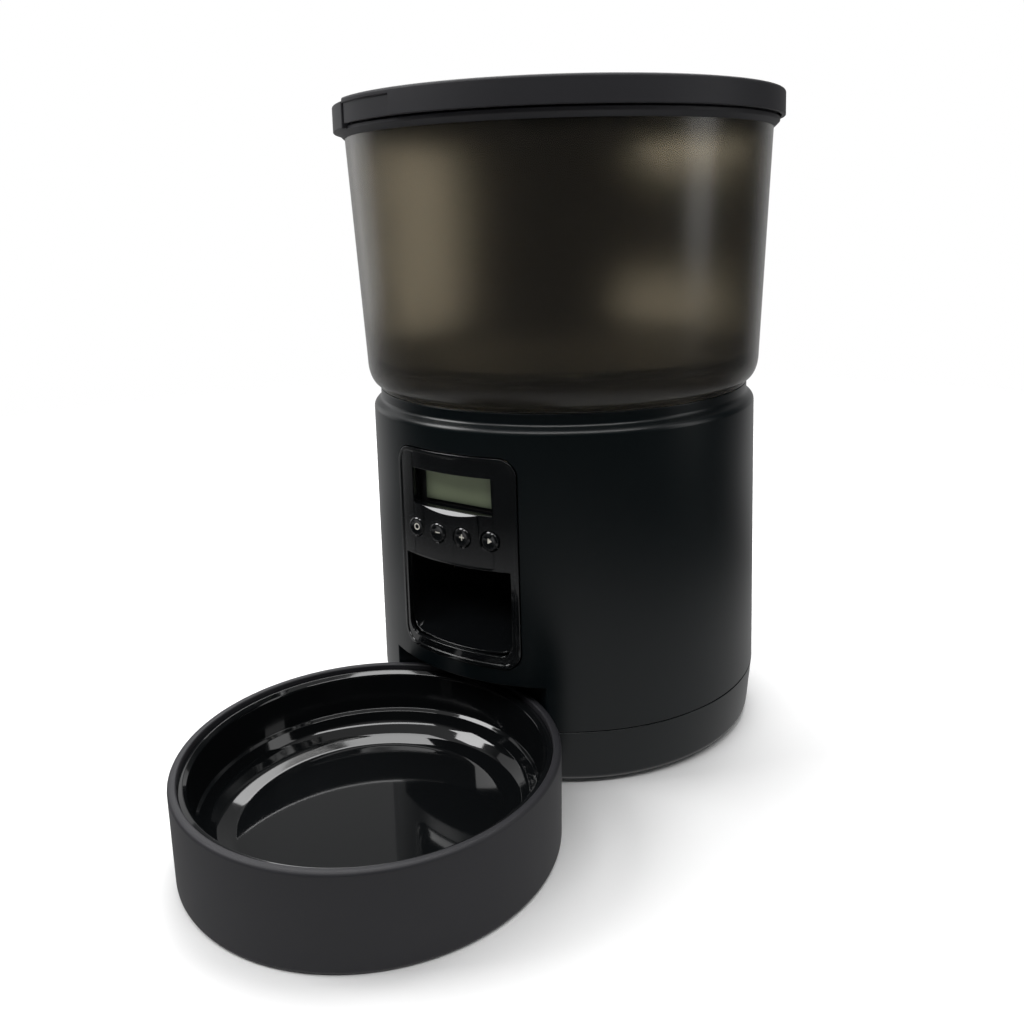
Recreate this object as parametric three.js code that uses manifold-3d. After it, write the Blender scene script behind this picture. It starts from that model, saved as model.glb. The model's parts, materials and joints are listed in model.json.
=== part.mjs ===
// Automatic pet feeder: round base with a control panel and chute, smoked hopper, lift-off lid,
// and a round bowl that docks into a recess in the front of the base.
// Millimetres, +Z up, front along -Y. The origin is the middle of the whole footprint, on the floor.
import * as THREE from "three";
import { mergeVertices } from "three/addons/utils/BufferGeometryUtils.js";
import Module from "manifold-3d";

const wasm = await Module();
wasm.setup();

// ---------- driving dimensions ----------
const roundSides = 40; // sides of the large turned parts
const smallSides = 16; // sides of the small turned parts
const gap = 0.3; // between parts that touch
const runningGap = 0.25; // around a turning shaft

const bodyRadius = 94;
const shellWall = 2.6;
const footHeight = 2;
const footRadius = 6;
const tubTaper = 2.6; // the tub is this much narrower at the floor
const tubEdge = 3.5; // rounding where the tub meets the floor
const tubFloor = 2.5;
const seamHeight = 26; // top of the tub
const shellHeight = 155; // where the shoulder starts
const shoulderHeight = 8;
const neckInset = 3.5;
const neckHeight = 5;

const hopperWall = 2.2;
const hopperOverhang = 2.2; // hopper foot beyond the base
const hopperFlare = 5.8; // growth in radius from foot to rim
const hopperHeight = 107; // from the hopper's shoulder to its rim bead
const hopperShoulder = 10;
const beadProud = 2.8;
const beadHeight = 4.2;
const rimStand = 7.5; // hopper rim above its bead
const spigotDrop = 7; // hopper spigot inside the neck

const lidClearance = 0.5;
const lidWall = 2;
const lidPlate = 2.2;
const lidSkirt = 11.4;
const lidEdge = 1.4;
const lugFrom = -59.5; // degrees round from the front, negative towards -X
const lugTo = -29.5;
const lugSpace = 0.5; // degrees of play between lug and lid
const gripTo = -7.4; // far end of the finger grip in the lid's skirt
const gripDepth = 0.8;
const gripBelowTop = 2.6;
const gasketWidth = 3.2;
const gasketHeight = 4;
const desiccantRadius = 24;
const desiccantDepth = 12;
const desiccantWall = 1.6;

const bowlRadius = 77.3;
const bowlRimHeight = 38.3;
const bowlNesting = 21.3; // how far the bowl reaches under the body
const bowlWall = 1.8;
const dishInset = 21.3; // the dish's flat floor is this much smaller in radius than the bowl
const bowlFloorHeight = 8;
const holderWall = 3.4;
const holderFloor = 2.5;
const holderLedge = 1.8;
const recessClearance = 1;
const recessHeight = 46;
const tongueHalfWidth = 16;
const tongueReach = 11;
const tongueThickness = 3;
const tongueHeight = 9;

const panelMargin = 4.3; // panel beyond the inside of the chute on each side
const panelBottom = 53.5;
const panelTop = 147;
const panelCorner = 8;
const panelThickness = 2.4;
const panelProud = 0.6;
const windowHalfWidth = 21.6;
const windowBottom = 121.6;
const windowTop = 138;
const windowWall = 1.4;
const screenSetback = 7.5; // screen behind the panel's face
const screenThickness = 1.2;
const screenHalfWidth = 18.5;
const screenBottom = 123;
const screenTop = 138.6;
const frameThickness = 2.6;
const frameMargin = 4;
const buttonRadius = 4.3;
const buttonHeight = 110.7;
const buttonPitch = 13.45;
const buttonCount = 4;
const buttonProud = 0.8;
const buttonTravel = 0.8;
const switchSize = 6;
const switchDepth = 3;
const boardThickness = 1.6;
const boardHalfWidth = 28;
const boardBottom = 102;
const boardTop = 144;

const chuteHalfWidth = 28;
const chuteWall = 1.6;
const chuteLip = 59; // height of the lip's upper face
const chuteHead = 96.6; // height of the mouth's ceiling
const chuteCorner = 7;
const chuteRise = 41; // floor's rise from the lip to its back
const chuteBack = 22; // back of the chute in front of the axis

const deckHeight = 124;
const deckThickness = 3;
const chamberRadius = 62;
const chamberWall = 2.2;
const chamberHeight = 29;
const outletInner = 22;
const outletOuter = 59;
const outletAngle = 28; // half angle of the outlet sector, in degrees
const funnelRadius = 60;
const baffleAngle = 40;
const baffleThickness = 2;

const rotorGap = 1.2; // rotor above the deck
const finHeight = 26;
const finReach = 57.5;
const finThickness = 2.4;
const finCount = 6;
const hubRadius = 14;
const hubHeight = 28;
const sleeveWall = 2;
const shaftRadius = 3;
const shaftCollar = 4;

const toothModule = 1;
const gearTeeth = 30;
const pinionTeeth = 10;
const gearWidth = 5;
const pinionWidth = 6;
const levelGap = 1.2; // between the two levels of gears
const gearboxWall = 2;
const gearboxHalfWidth = 19;
const pillarRadius = 3; // pillars between the gearbox and the deck above it
const motorRadius = 12;
const motorLength = 30;
const motorShaftRadius = 1;
const pinRadius = 1.5;

const cellDiameter = 34.2;
const cellLength = 61.5;
const cellCount = 3;
const cellPlay = 2.8; // spare width over all the cells
const springLength = 6.5;
const boxWall = 1.8;
const boxHeight = 39;
const boxCentre = 4; // centre of the battery box behind the axis
const doorClearance = 0.8;
const doorThickness = 2.2;
const springWire = 0.5;
const plateThickness = 0.4;
const plateSize = 12;

const screwCircle = 80;
const screwAngles = [35, 145, 215, 325];
const screwHead = 3.2;
const screwShank = 1.5;
const screwLength = 16;
const postRadius = 4.2;
const bossRadius = 6;
const bossHeight = 3.5;
const footCircle = 79;
const footAngles = [65, 115, 203, 337];
const jackHeight = 40;
const jackRadius = 5.2;
const jackDepth = 12;
const jackBore = 2.75;
const jackPin = 1;

// ---------- sizes that follow ----------
const shellInner = bodyRadius - shellWall;
const neckRadius = bodyRadius - neckInset;
const neckFoot = shellHeight + shoulderHeight;
const seatHeight = neckFoot + 3; // top of the base, where the hopper sits
const neckTop = neckFoot + neckHeight;
const hopperFootRadius = bodyRadius + hopperOverhang;
const hopperTopRadius = hopperFootRadius + hopperFlare;
const hopperFoot = neckTop + hopperShoulder;
const beadBottom = hopperFoot + hopperHeight;
const beadRadius = hopperTopRadius + beadProud;
const beadTop = beadBottom + beadHeight;
const rimRadius = beadRadius - 1.4;
const rimTop = beadTop + rimStand;
const lidRadius = beadRadius + lidClearance + lidWall;
const lidFoot = beadTop + 0.4;
const lidTop = lidFoot + lidSkirt;
const lidUnder = lidTop - lidPlate;
const bowlDistance = bodyRadius + bowlRadius - bowlNesting;
const recessRadius = bowlRadius + recessClearance;
const bowlFloorRadius = bowlRadius - dishInset;
const panelHalfWidth = chuteHalfWidth + panelMargin;
const totalFront = bowlDistance + bowlRadius;
const bodyY = (totalFront - lidRadius) / 2; // puts the origin in the middle of the footprint
const deckTop = deckHeight + deckThickness;
const postHeight = deckHeight - gap; // the posts carry the feed deck
const funnelBottom = deckTop + chamberHeight + 1.5;
const screenY = -(bodyRadius - screenSetback);
const frameY = screenY + screenThickness + gap;
const boardY = frameY + frameThickness + gap + switchDepth;
const rotorBottom = deckTop + rotorGap;
const gearDistance = (toothModule * (gearTeeth + pinionTeeth)) / 2;
const upperLevel = deckHeight - gearboxWall - gap - 3 - gearWidth;
const lowerLevel = upperLevel - levelGap - gearWidth;
const gearboxBottom = lowerLevel - 1 - gearboxWall;
const gearboxTop = upperLevel + gearWidth + 1 + gearboxWall;
const gearboxSplit = upperLevel - levelGap / 2;
const gearRim = (toothModule * (gearTeeth + 2)) / 2;
const gearboxFront = -(gearRim + 1.5);
const gearboxRear = 2 * gearDistance + motorRadius;
const boxHalfWidth = (cellCount * cellDiameter + cellPlay) / 2 + boxWall;
const boxHalfLength = (cellLength + springLength) / 2 + boxWall;
const floorTop = footHeight + tubFloor;
const radians = THREE.MathUtils.degToRad;

// ---------- finishes ----------
const finish = (color, roughness, metalness = 0) =>
  new THREE.MeshStandardMaterial({ color, roughness, metalness });
const satinBlack = finish(0x1b1d1f, 0.38);
const matteBlack = finish(0x242527, 0.6);
const glossBlack = finish(0x0a0b0c, 0.12);
const innerBlack = finish(0x17181a, 0.5);
const smoke = finish(0x3b3933, 0.4);
const lcdGreen = finish(0x4a5142, 0.25);
const boardGreen = finish(0x1d4a2e, 0.5);
const nylon = finish(0xe6e2d6, 0.5);
const softGrey = finish(0x77797b, 0.8);
const rubber = finish(0x141414, 0.85);
const steel = finish(0xb9bcc0, 0.3, 1);

// ---------- solids ----------
// A three.js geometry as a manifold-3d solid, with its faces turned outwards.
function solid(geometry) {
  const bare = geometry.index ? geometry.toNonIndexed() : geometry;
  const position = new THREE.BufferGeometry().setAttribute("position", bare.getAttribute("position"));
  const merged = mergeVertices(position, 1e-3);
  const index = [];
  for (let i = 0; i < merged.index.count; i += 3) {
    const [a, b, c] = [0, 1, 2].map((k) => merged.index.getX(i + k));
    if (a !== b && b !== c && c !== a) index.push(a, b, c);
  }
  const build = (triVerts) =>
    new wasm.Manifold(
      new wasm.Mesh({
        numProp: 3,
        vertProperties: merged.attributes.position.array,
        triVerts: new Uint32Array(triVerts),
      }),
    );
  const made = build(index);
  if (made.volume() > 0) return made;
  return build(index.map((_, i) => index[i - (i % 3) + (2 - (i % 3))]));
}

function part(name, shape, material) {
  const { vertProperties, triVerts, numProp } = shape.getMesh();
  const position = new Float32Array((vertProperties.length / numProp) * 3);
  for (let i = 0; i < position.length / 3; i++)
    position.set(vertProperties.subarray(i * numProp, i * numProp + 3), i * 3);
  const geometry = new THREE.BufferGeometry();
  geometry.setAttribute("position", new THREE.BufferAttribute(position, 3));
  geometry.setIndex(new THREE.BufferAttribute(new Uint32Array(triVerts), 1));
  const flat = geometry.toNonIndexed();
  flat.computeVertexNormals();
  const mesh = new THREE.Mesh(flat, material);
  mesh.name = name;
  return mesh;
}

const points = (pairs) => pairs.map(([x, y]) => new THREE.Vector2(x, y));

// Turns a closed outline of [radius, height] pairs about Z.
function turned(outline, sides = roundSides) {
  const profile = points([...outline, outline[0]]);
  return solid(new THREE.LatheGeometry(profile, sides).rotateX(Math.PI / 2));
}

// A quarter round of [radius, height] pairs from one angle to another, in degrees.
const quarter = (r, z, radius, from, to, steps = 4, stretch = 1) =>
  Array.from({ length: steps + 1 }, (_, i) => {
    const a = radians(from + ((to - from) * i) / steps);
    return [r + radius * Math.cos(a), z + radius * stretch * Math.sin(a)];
  });

const rod = (radius, bottom, top, x = 0, y = 0, sides = smallSides) =>
  turned([[0, bottom], [radius, bottom], [radius, top], [0, top]], sides).translate([x, y, 0]);

const pipe = (inner, outer, bottom, top, sides = roundSides) =>
  turned([[inner, bottom], [outer, bottom], [outer, top], [inner, top]], sides);

// A rod along Y.
const rodY = (radius, front, back, x, z, sides = smallSides) =>
  rod(radius, front, back, 0, 0, sides).rotate([-90, 0, 0]).translate([x, 0, z]);

function block(x0, x1, y0, y1, z0, z1) {
  const box = new THREE.BoxGeometry(x1 - x0, y1 - y0, z1 - z0);
  return solid(box.translate((x0 + x1) / 2, (y0 + y1) / 2, (z0 + z1) / 2));
}

const extrude = (shape, depth) =>
  solid(new THREE.ExtrudeGeometry(shape, { depth, bevelEnabled: false, curveSegments: 6 }));

// An outline seen from the front, in x and z, made solid between two depths.
const fromFront = (shape, front, back) =>
  extrude(shape, back - front).rotate([90, 0, 0]).translate([0, back, 0]);

// An outline seen from the side, in y and z, made solid across a half width.
const fromSide = (pairs, halfWidth) =>
  extrude(new THREE.Shape(points(pairs)), 2 * halfWidth)
    .rotate([90, 0, 0])
    .rotate([0, 0, 90])
    .translate([-halfWidth, 0, 0]);

function roundedRect(halfWidth, bottom, top, corner, topCorner = corner) {
  const shape = new THREE.Shape();
  const edge = Math.max(topCorner, 0.01);
  shape.moveTo(-halfWidth + corner, bottom);
  shape.lineTo(halfWidth - corner, bottom);
  shape.absarc(halfWidth - corner, bottom + corner, corner, -Math.PI / 2, 0);
  shape.lineTo(halfWidth, top - edge);
  shape.absarc(halfWidth - edge, top - edge, edge, 0, Math.PI / 2);
  shape.lineTo(-halfWidth + edge, top);
  shape.absarc(-halfWidth + edge, top - edge, edge, Math.PI / 2, Math.PI);
  shape.lineTo(-halfWidth, bottom + corner);
  shape.absarc(-halfWidth + corner, bottom + corner, corner, Math.PI, 1.5 * Math.PI);
  return shape;
}

// A ring sector, from and to in degrees round from the front.
function sector(inner, outer, from, to, bottom, top) {
  const shape = new THREE.Shape();
  const [a, b] = [radians(from - 90), radians(to - 90)];
  shape.absarc(0, 0, outer, a, b, false);
  shape.absarc(0, 0, inner, b, a, true);
  const depth = top - bottom;
  const geometry = new THREE.ExtrudeGeometry(shape, { depth, bevelEnabled: false, curveSegments: 12 });
  return solid(geometry).translate([0, 0, bottom]);
}

const polar = (radius, degrees) => [radius * Math.cos(radians(degrees)), radius * Math.sin(radians(degrees))];

const body = new THREE.Group();
body.position.y = bodyY;
const dock = new THREE.Group();
dock.position.y = bodyY - bowlDistance;
const root = new THREE.Group();
root.add(body, dock);

// ---------- base ----------
// The bowl's recess as a solid to take away, grown by a wall for the inside.
const recess = (grow) =>
  rod(recessRadius + grow, -1, recessHeight + grow, 0, -bowlDistance, roundSides);

function makeTub() {
  const floorRadius = bodyRadius - tubTaper;
  const outer = turned([
    [0, footHeight],
    ...quarter(floorRadius - tubEdge, footHeight + tubEdge, tubEdge, -90, 0),
    [bodyRadius, seamHeight],
    [0, seamHeight],
  ]);
  const inner = turned([
    [0, floorTop],
    [floorRadius - tubEdge, floorTop],
    [floorRadius - shellWall, footHeight + tubEdge],
    [shellInner, seamHeight + 1],
    [0, seamHeight + 1],
  ]);
  let tub = outer.subtract(recess(0)).subtract(inner.subtract(recess(shellWall)));
  for (const angle of screwAngles) {
    const [x, y] = polar(screwCircle, angle);
    tub = tub
      .add(rod(bossRadius, floorTop - 1, floorTop + bossHeight, x, y))
      .subtract(rod(screwHead + 0.4, footHeight - 1, floorTop + bossHeight - 2, x, y))
      .subtract(rod(screwShank + 0.4, footHeight, floorTop + bossHeight + 1, x, y));
  }
  for (const angle of footAngles) {
    const [x, y] = polar(footCircle, angle);
    tub = tub.subtract(rod(footRadius + gap, footHeight - 1, footHeight + 0.8, x, y));
  }
  const doorway = block(
    -boxHalfWidth + boxWall,
    boxHalfWidth - boxWall,
    boxCentre - boxHalfLength + boxWall,
    boxCentre + boxHalfLength - boxWall,
    0,
    floorTop + 1,
  );
  const slot = block(
    -tongueHalfWidth - 0.4,
    tongueHalfWidth + 0.4,
    -bowlDistance + recessRadius - 12,
    -bowlDistance + recessRadius + shellWall + 3,
    tongueHeight - 0.4,
    tongueHeight + tongueThickness + 0.4,
  );
  return part("base_tub", tub.subtract(doorway).subtract(slot), satinBlack);
}

function makeShell() {
  const foot = seamHeight + gap;
  const shoulder = (grow) =>
    quarter(neckRadius - grow, shellHeight, neckInset, 0, 90, 5, shoulderHeight / neckInset);
  const outer = turned([
    [0, foot],
    [bodyRadius, foot],
    ...shoulder(0),
    [neckRadius, seatHeight],
    [0, seatHeight],
  ]);
  const inner = turned([
    [0, foot - 1],
    [shellInner, foot - 1],
    ...shoulder(shellWall),
    [neckRadius - shellWall, seatHeight + 1],
    [0, seatHeight + 1],
  ]);
  let shell = outer.subtract(recess(0)).subtract(inner.subtract(recess(shellWall)));
  const postFoot = floorTop + bossHeight + gap;
  for (const angle of screwAngles) {
    const [x, y] = polar(screwCircle, angle);
    const rib = block(screwCircle + postRadius - 1, shellInner + 1, -1, 1, foot, postHeight);
    shell = shell
      .add(rod(postRadius, postFoot, postHeight, x, y))
      .add(rib.rotate([0, 0, angle]))
      .subtract(rod(screwShank + 0.2, postFoot - 1, postFoot + screwLength, x, y));
  }
  const opening = roundedRect(panelHalfWidth + gap, panelBottom - gap, panelTop + gap, panelCorner);
  shell = shell
    .subtract(fromFront(opening, -bodyRadius - 5, -bodyRadius / 2))
    .subtract(rodY(jackRadius + gap, shellInner - 5, bodyRadius + 5, 0, jackHeight));
  return part("main_shell", shell, satinBlack);
}

function makeFeet() {
  return footAngles.map((angle, i) => {
    const foot = part(`foot_${i + 1}`, rod(footRadius, 0, footHeight + 0.5), rubber);
    const [x, y] = polar(footCircle, angle);
    foot.position.set(x, y, 0);
    return foot;
  });
}

function makeScrews() {
  const head = floorTop + bossHeight - 2 - gap;
  return screwAngles.map((angle, i) => {
    const shape = turned(
      [
        [0, head - 2],
        [screwHead - 0.8, head - 2],
        [screwHead, head - 1],
        [screwHead, head],
        [screwShank, head],
        [screwShank, head + screwLength],
        [0, head + screwLength + 1],
      ],
      12,
    );
    const slot = block(-2, 2, -0.4, 0.4, head - 3, head - 1);
    const drive = slot.add(slot.rotate([0, 0, 90]));
    const screw = part(`base_screw_${i + 1}`, shape.subtract(drive), steel);
    const [x, y] = polar(screwCircle, angle);
    screw.position.set(x, y, 0);
    return screw;
  });
}

function makeJack() {
  const back = bodyRadius + 0.8;
  const socket = rodY(jackRadius, back - 6, back, 0, 0).add(
    block(-4.5, 4.5, back - jackDepth, back - 4, -jackRadius, 4.5),
  );
  const bore = rodY(jackBore, back - 9, back + 1, 0, 0).subtract(rodY(jackPin, back - 10, back - 1, 0, 0, 8));
  const jack = part("dc_jack", socket.subtract(bore), innerBlack);
  jack.position.z = jackHeight;
  return jack;
}

// ---------- front panel and electronics ----------
const chuteMouth = (grow) =>
  roundedRect(chuteHalfWidth + grow, chuteLip - grow, chuteHead + grow, chuteCorner + grow, 0);
const buttonX = Array.from({ length: buttonCount }, (_, i) => (i - (buttonCount - 1) / 2) * buttonPitch);
const onFace = (x) => -Math.sqrt(bodyRadius ** 2 - x ** 2); // the body's face at that x

function makePanel() {
  const front = -bodyRadius - 5;
  const band = pipe(
    bodyRadius + panelProud - panelThickness,
    bodyRadius + panelProud,
    panelBottom - 2,
    panelTop + 2,
    2 * roundSides,
  );
  const outline = roundedRect(panelHalfWidth, panelBottom, panelTop, panelCorner);
  const tunnel = block(
    -windowHalfWidth - windowWall,
    windowHalfWidth + windowWall,
    -bodyRadius,
    screenY - gap,
    windowBottom - windowWall,
    windowTop + windowWall,
  ).intersect(rod(bodyRadius - 0.5, panelBottom, panelTop, 0, 0, 2 * roundSides));
  const window = block(-windowHalfWidth, windowHalfWidth, front, 0, windowBottom, windowTop);
  let panel = fromFront(outline, front, -bodyRadius / 2).intersect(band).add(tunnel).subtract(window);
  panel = panel.subtract(fromFront(chuteMouth(chuteWall + gap), front, -bodyRadius / 2));
  for (const x of buttonX) panel = panel.subtract(rodY(buttonRadius + gap, front, screenY, x, buttonHeight));
  return part("front_panel", panel, glossBlack);
}

function makeScreen() {
  const screen = block(
    -screenHalfWidth,
    screenHalfWidth,
    screenY,
    screenY + screenThickness,
    screenBottom,
    screenTop,
  );
  const frame = block(
    -windowHalfWidth - frameMargin,
    windowHalfWidth + frameMargin,
    frameY,
    frameY + frameThickness,
    windowBottom - 3,
    windowTop + frameMargin,
  );
  return [part("lcd_screen", screen, lcdGreen), part("lcd_frame", frame, innerBlack)];
}

function makeBoard() {
  const back = boardY + boardThickness;
  const board = block(-boardHalfWidth, boardHalfWidth, boardY, back, boardBottom, boardTop);
  return part("control_board", board, boardGreen);
}

function makeButtons() {
  return buttonX.flatMap((x, i) => {
    const face = onFace(x) - buttonProud;
    const switchTop = boardY - gap - switchDepth;
    const inside = onFace(Math.abs(x) + buttonRadius) + panelThickness + 0.8;
    const cap = turned(
      [
        [0, face],
        [buttonRadius * 0.6, face + 0.2],
        [buttonRadius, face + 1],
        [buttonRadius, inside],
        [buttonRadius + 1, inside],
        [buttonRadius + 1, inside + 1],
        [1.5, inside + 1],
        [1.5, switchTop - 1],
        [0, switchTop - 1],
      ],
      16,
    ).rotate([-90, 0, 0]);
    const button = part(`button_${i + 1}`, cap, glossBlack);
    button.position.set(x, 0, buttonHeight);
    const half = switchSize / 2;
    const tact = block(-half, half, switchTop, boardY - gap, -half, half);
    const key = part(`tact_switch_${i + 1}`, tact, innerBlack);
    key.position.copy(button.position);
    return [button, key];
  });
}

// ---------- chute and feed deck ----------
function makeChute() {
  const lipY = -bodyRadius - 0.4;
  const headY = boardY - 1.5;
  const top = deckHeight - gap;
  const backZ = chuteLip + chuteRise;
  const throat = outletOuter + 3;
  const side = (w) => [
    [lipY - 10, chuteLip - w],
    [lipY + 4, chuteLip - w],
    [-chuteBack + w, backZ - w],
    [-chuteBack + w, top + (w ? 0 : 1)],
    [-throat - w, top + (w ? 0 : 1)],
    [-throat - w, chuteHead + 8 + w],
    [headY + 12, chuteHead + w],
    [lipY - 10, chuteHead + w],
  ];
  const mouth = (grow) => {
    const tall = roundedRect(chuteHalfWidth + grow, chuteLip - grow, deckHeight + 5, chuteCorner + grow, 0);
    return fromFront(tall, -2 * bodyRadius, 0);
  };
  const outer = fromSide(side(chuteWall), chuteHalfWidth + chuteWall).intersect(mouth(chuteWall));
  const inner = fromSide(side(0), chuteHalfWidth).intersect(mouth(0));
  const trim = rod(-lipY, chuteLip - 10, deckHeight + 5, 0, 0, 2 * roundSides);
  return part("chute", outer.subtract(inner).intersect(trim), glossBlack);
}

function makeDeck() {
  const plate = rod(shellInner - 0.5, deckHeight, deckTop, 0, 0, roundSides);
  const wall = pipe(chamberRadius, chamberRadius + chamberWall, deckTop - 1, deckTop + chamberHeight);
  const outlet = sector(outletInner, outletOuter, -outletAngle, outletAngle, deckHeight - 1, deckTop + 1);
  const notchHalf = panelHalfWidth + 2;
  const notch = block(-notchHalf, notchHalf, -bodyRadius, boardY + 4, deckHeight - 1, deckTop + 1);
  const deck = plate.add(wall).subtract(outlet).subtract(notch);
  return part("feed_deck", deck.subtract(rod(shaftCollar + runningGap, 0, deckTop + 1)), innerBlack);
}

// ---------- drive ----------
// A spur gear's outline with straight-sided teeth, thinned for backlash.
function gear(teeth, width, bore, bottom, turn = 0) {
  const pitch = (toothModule * teeth) / 2;
  const pitchAngle = (2 * Math.PI) / teeth;
  const tooth = [
    [pitch - 1.2 * toothModule, 0.29],
    [pitch, 0.2],
    [pitch + 0.85 * toothModule, 0.09],
  ];
  const outline = [];
  for (let i = 0; i < teeth; i++) {
    const flank = [...tooth.map(([r, half]) => [r, -half]), ...tooth.toReversed()];
    for (const [r, share] of flank) {
      const a = (i + share) * pitchAngle + turn;
      outline.push(new THREE.Vector2(r * Math.cos(a), r * Math.sin(a)));
    }
  }
  const blank = extrude(new THREE.Shape(outline), width).translate([0, 0, bottom]);
  return blank.subtract(rod(bore, bottom - 1, bottom + width + 1));
}

function makeDrive() {
  const halfPitch = Math.PI / pinionTeeth;
  const idlerTurn = Math.PI / 2; // the idler's pinion shows a gap to the output gear's tooth
  const output = gear(gearTeeth, gearWidth, shaftRadius + 0.1, upperLevel, Math.PI / 2);
  const key = block(-1, 1, 0, shaftRadius + 1.4, upperLevel, upperLevel + gearWidth);
  const pinBore = pinRadius + runningGap;
  const idler = gear(gearTeeth, gearWidth, pinBore, lowerLevel, idlerTurn)
    .add(gear(pinionTeeth, gearWidth + levelGap + 0.5, pinBore, upperLevel - levelGap, idlerTurn + halfPitch))
    .add(pipe(pinBore, 3.6, lowerLevel + gearWidth - 1, upperLevel, smallSides));
  const pinionTurn = -Math.PI / 2 + halfPitch;
  const pinion = gear(pinionTeeth, pinionWidth, motorShaftRadius + 0.1, lowerLevel - 0.5, pinionTurn);
  const shaftTop = rotorBottom + hubHeight - 4;
  const shaft = turned(
    [
      [0, gearboxBottom + gearboxWall + gap],
      [shaftRadius, gearboxBottom + gearboxWall + gap],
      [shaftRadius, gearboxTop + gap],
      [shaftCollar, gearboxTop + gap],
      [shaftCollar, deckTop],
      [shaftRadius, deckTop],
      [shaftRadius, shaftTop],
      [0, shaftTop],
    ],
    smallSides,
  ).subtract(block(-5, 5, shaftRadius - 0.9, 5, deckTop, shaftTop + 1));
  const keyway = block(-1.3, 1.3, 0, shaftRadius + 1.7, upperLevel - 1, upperLevel + gearWidth + 1);
  const drive = part("drive_shaft", shaft.add(key), steel);
  const outputGear = part("output_gear", output.subtract(keyway), nylon);
  const idlerGear = part("idler_gear", idler, nylon);
  idlerGear.position.y = gearDistance;
  const [pinFoot, pinTop] = [gearboxBottom + gearboxWall + gap, gearboxTop - gearboxWall - gap];
  const pin = rod(pinRadius, pinFoot, pinTop, 0, gearDistance, 12);
  const motorPinion = part("motor_pinion", pinion, nylon);
  motorPinion.position.y = 2 * gearDistance;
  return [drive, outputGear, idlerGear, part("idler_pin", pin, steel), motorPinion];
}

function makeMotor() {
  const top = gearboxBottom - gap;
  const shaftFoot = top - motorLength / 2;
  const can = turned(
    [
      [0, top - motorLength - 2],
      [3.5, top - motorLength - 2],
      [3.5, top - motorLength],
      [motorRadius - 1, top - motorLength],
      [motorRadius, top - motorLength + 1],
      [motorRadius, top - 1],
      [motorRadius - 1, top],
      [motorShaftRadius + runningGap, top],
      [motorShaftRadius + runningGap, shaftFoot - gap],
      [0, shaftFoot - gap],
    ],
    24,
  );
  const parts = [
    part("motor", can, steel),
    part("motor_shaft", rod(motorShaftRadius, shaftFoot, lowerLevel + pinionWidth), steel),
  ];
  for (const mesh of parts) mesh.position.y = 2 * gearDistance;
  return parts;
}

function makeGearbox() {
  const half = (w, bottom, top) =>
    block(-gearboxHalfWidth - w, gearboxHalfWidth + w, gearboxFront - w, gearboxRear + w, bottom, top);
  const pillarX = gearboxHalfWidth - 2;
  const pillar = (x, y) => rod(pillarRadius, gearboxTop - 1, deckHeight - gap, x, y, 12);
  const pillars = [-1, 1]
    .flatMap((side) => [gearboxFront + 3, gearboxRear - 3].map((y) => pillar(side * pillarX, y)))
    .reduce((all, one) => all.add(one));
  const tray = half(gearboxWall, gearboxBottom, gearboxSplit)
    .subtract(half(0, gearboxBottom + gearboxWall, gearboxSplit + 1))
    .subtract(rod(motorShaftRadius + 0.6, gearboxBottom - 1, gearboxTop, 0, 2 * gearDistance));
  const cover = half(gearboxWall, gearboxSplit + gap, gearboxTop)
    .subtract(half(0, gearboxSplit, gearboxTop - gearboxWall))
    .subtract(rod(shaftRadius + runningGap, gearboxBottom, gearboxTop + 1))
    .add(pillars);
  return [part("gearbox_tray", tray, innerBlack), part("gearbox_cover", cover, innerBlack)];
}

// ---------- rotor ----------
function makeRotor() {
  const sleeve = hubRadius + sleeveWall;
  const bore = rod(shaftRadius + 0.2, 0, rotorBottom + hubHeight - 3.5).subtract(
    block(-5, 5, shaftRadius - 0.7, 5, 0, rotorBottom + hubHeight),
  );
  const hub = turned(
    [
      [0, rotorBottom],
      [hubRadius, rotorBottom],
      [hubRadius, rotorBottom + hubHeight - 3],
      ...quarter(hubRadius - 3, rotorBottom + hubHeight - 3, 3, 30, 90, 2),
      [4, rotorBottom + hubHeight],
      [0, rotorBottom + hubHeight + 2],
    ],
    24,
  ).subtract(bore);
  let fins = pipe(hubRadius + 0.2, sleeve, rotorBottom + 0.5, rotorBottom + finHeight, 24);
  for (let i = 0; i < finCount; i++) {
    const half = finThickness / 2;
    const fin = block(sleeve - 1, finReach, -half, half, rotorBottom + 0.5, rotorBottom + finHeight);
    fins = fins.add(fin.rotate([0, 0, 90 + (360 / finCount) * i]));
  }
  return [part("rotor_hub", hub, nylon), part("rotor_fins", fins, softGrey)];
}

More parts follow.
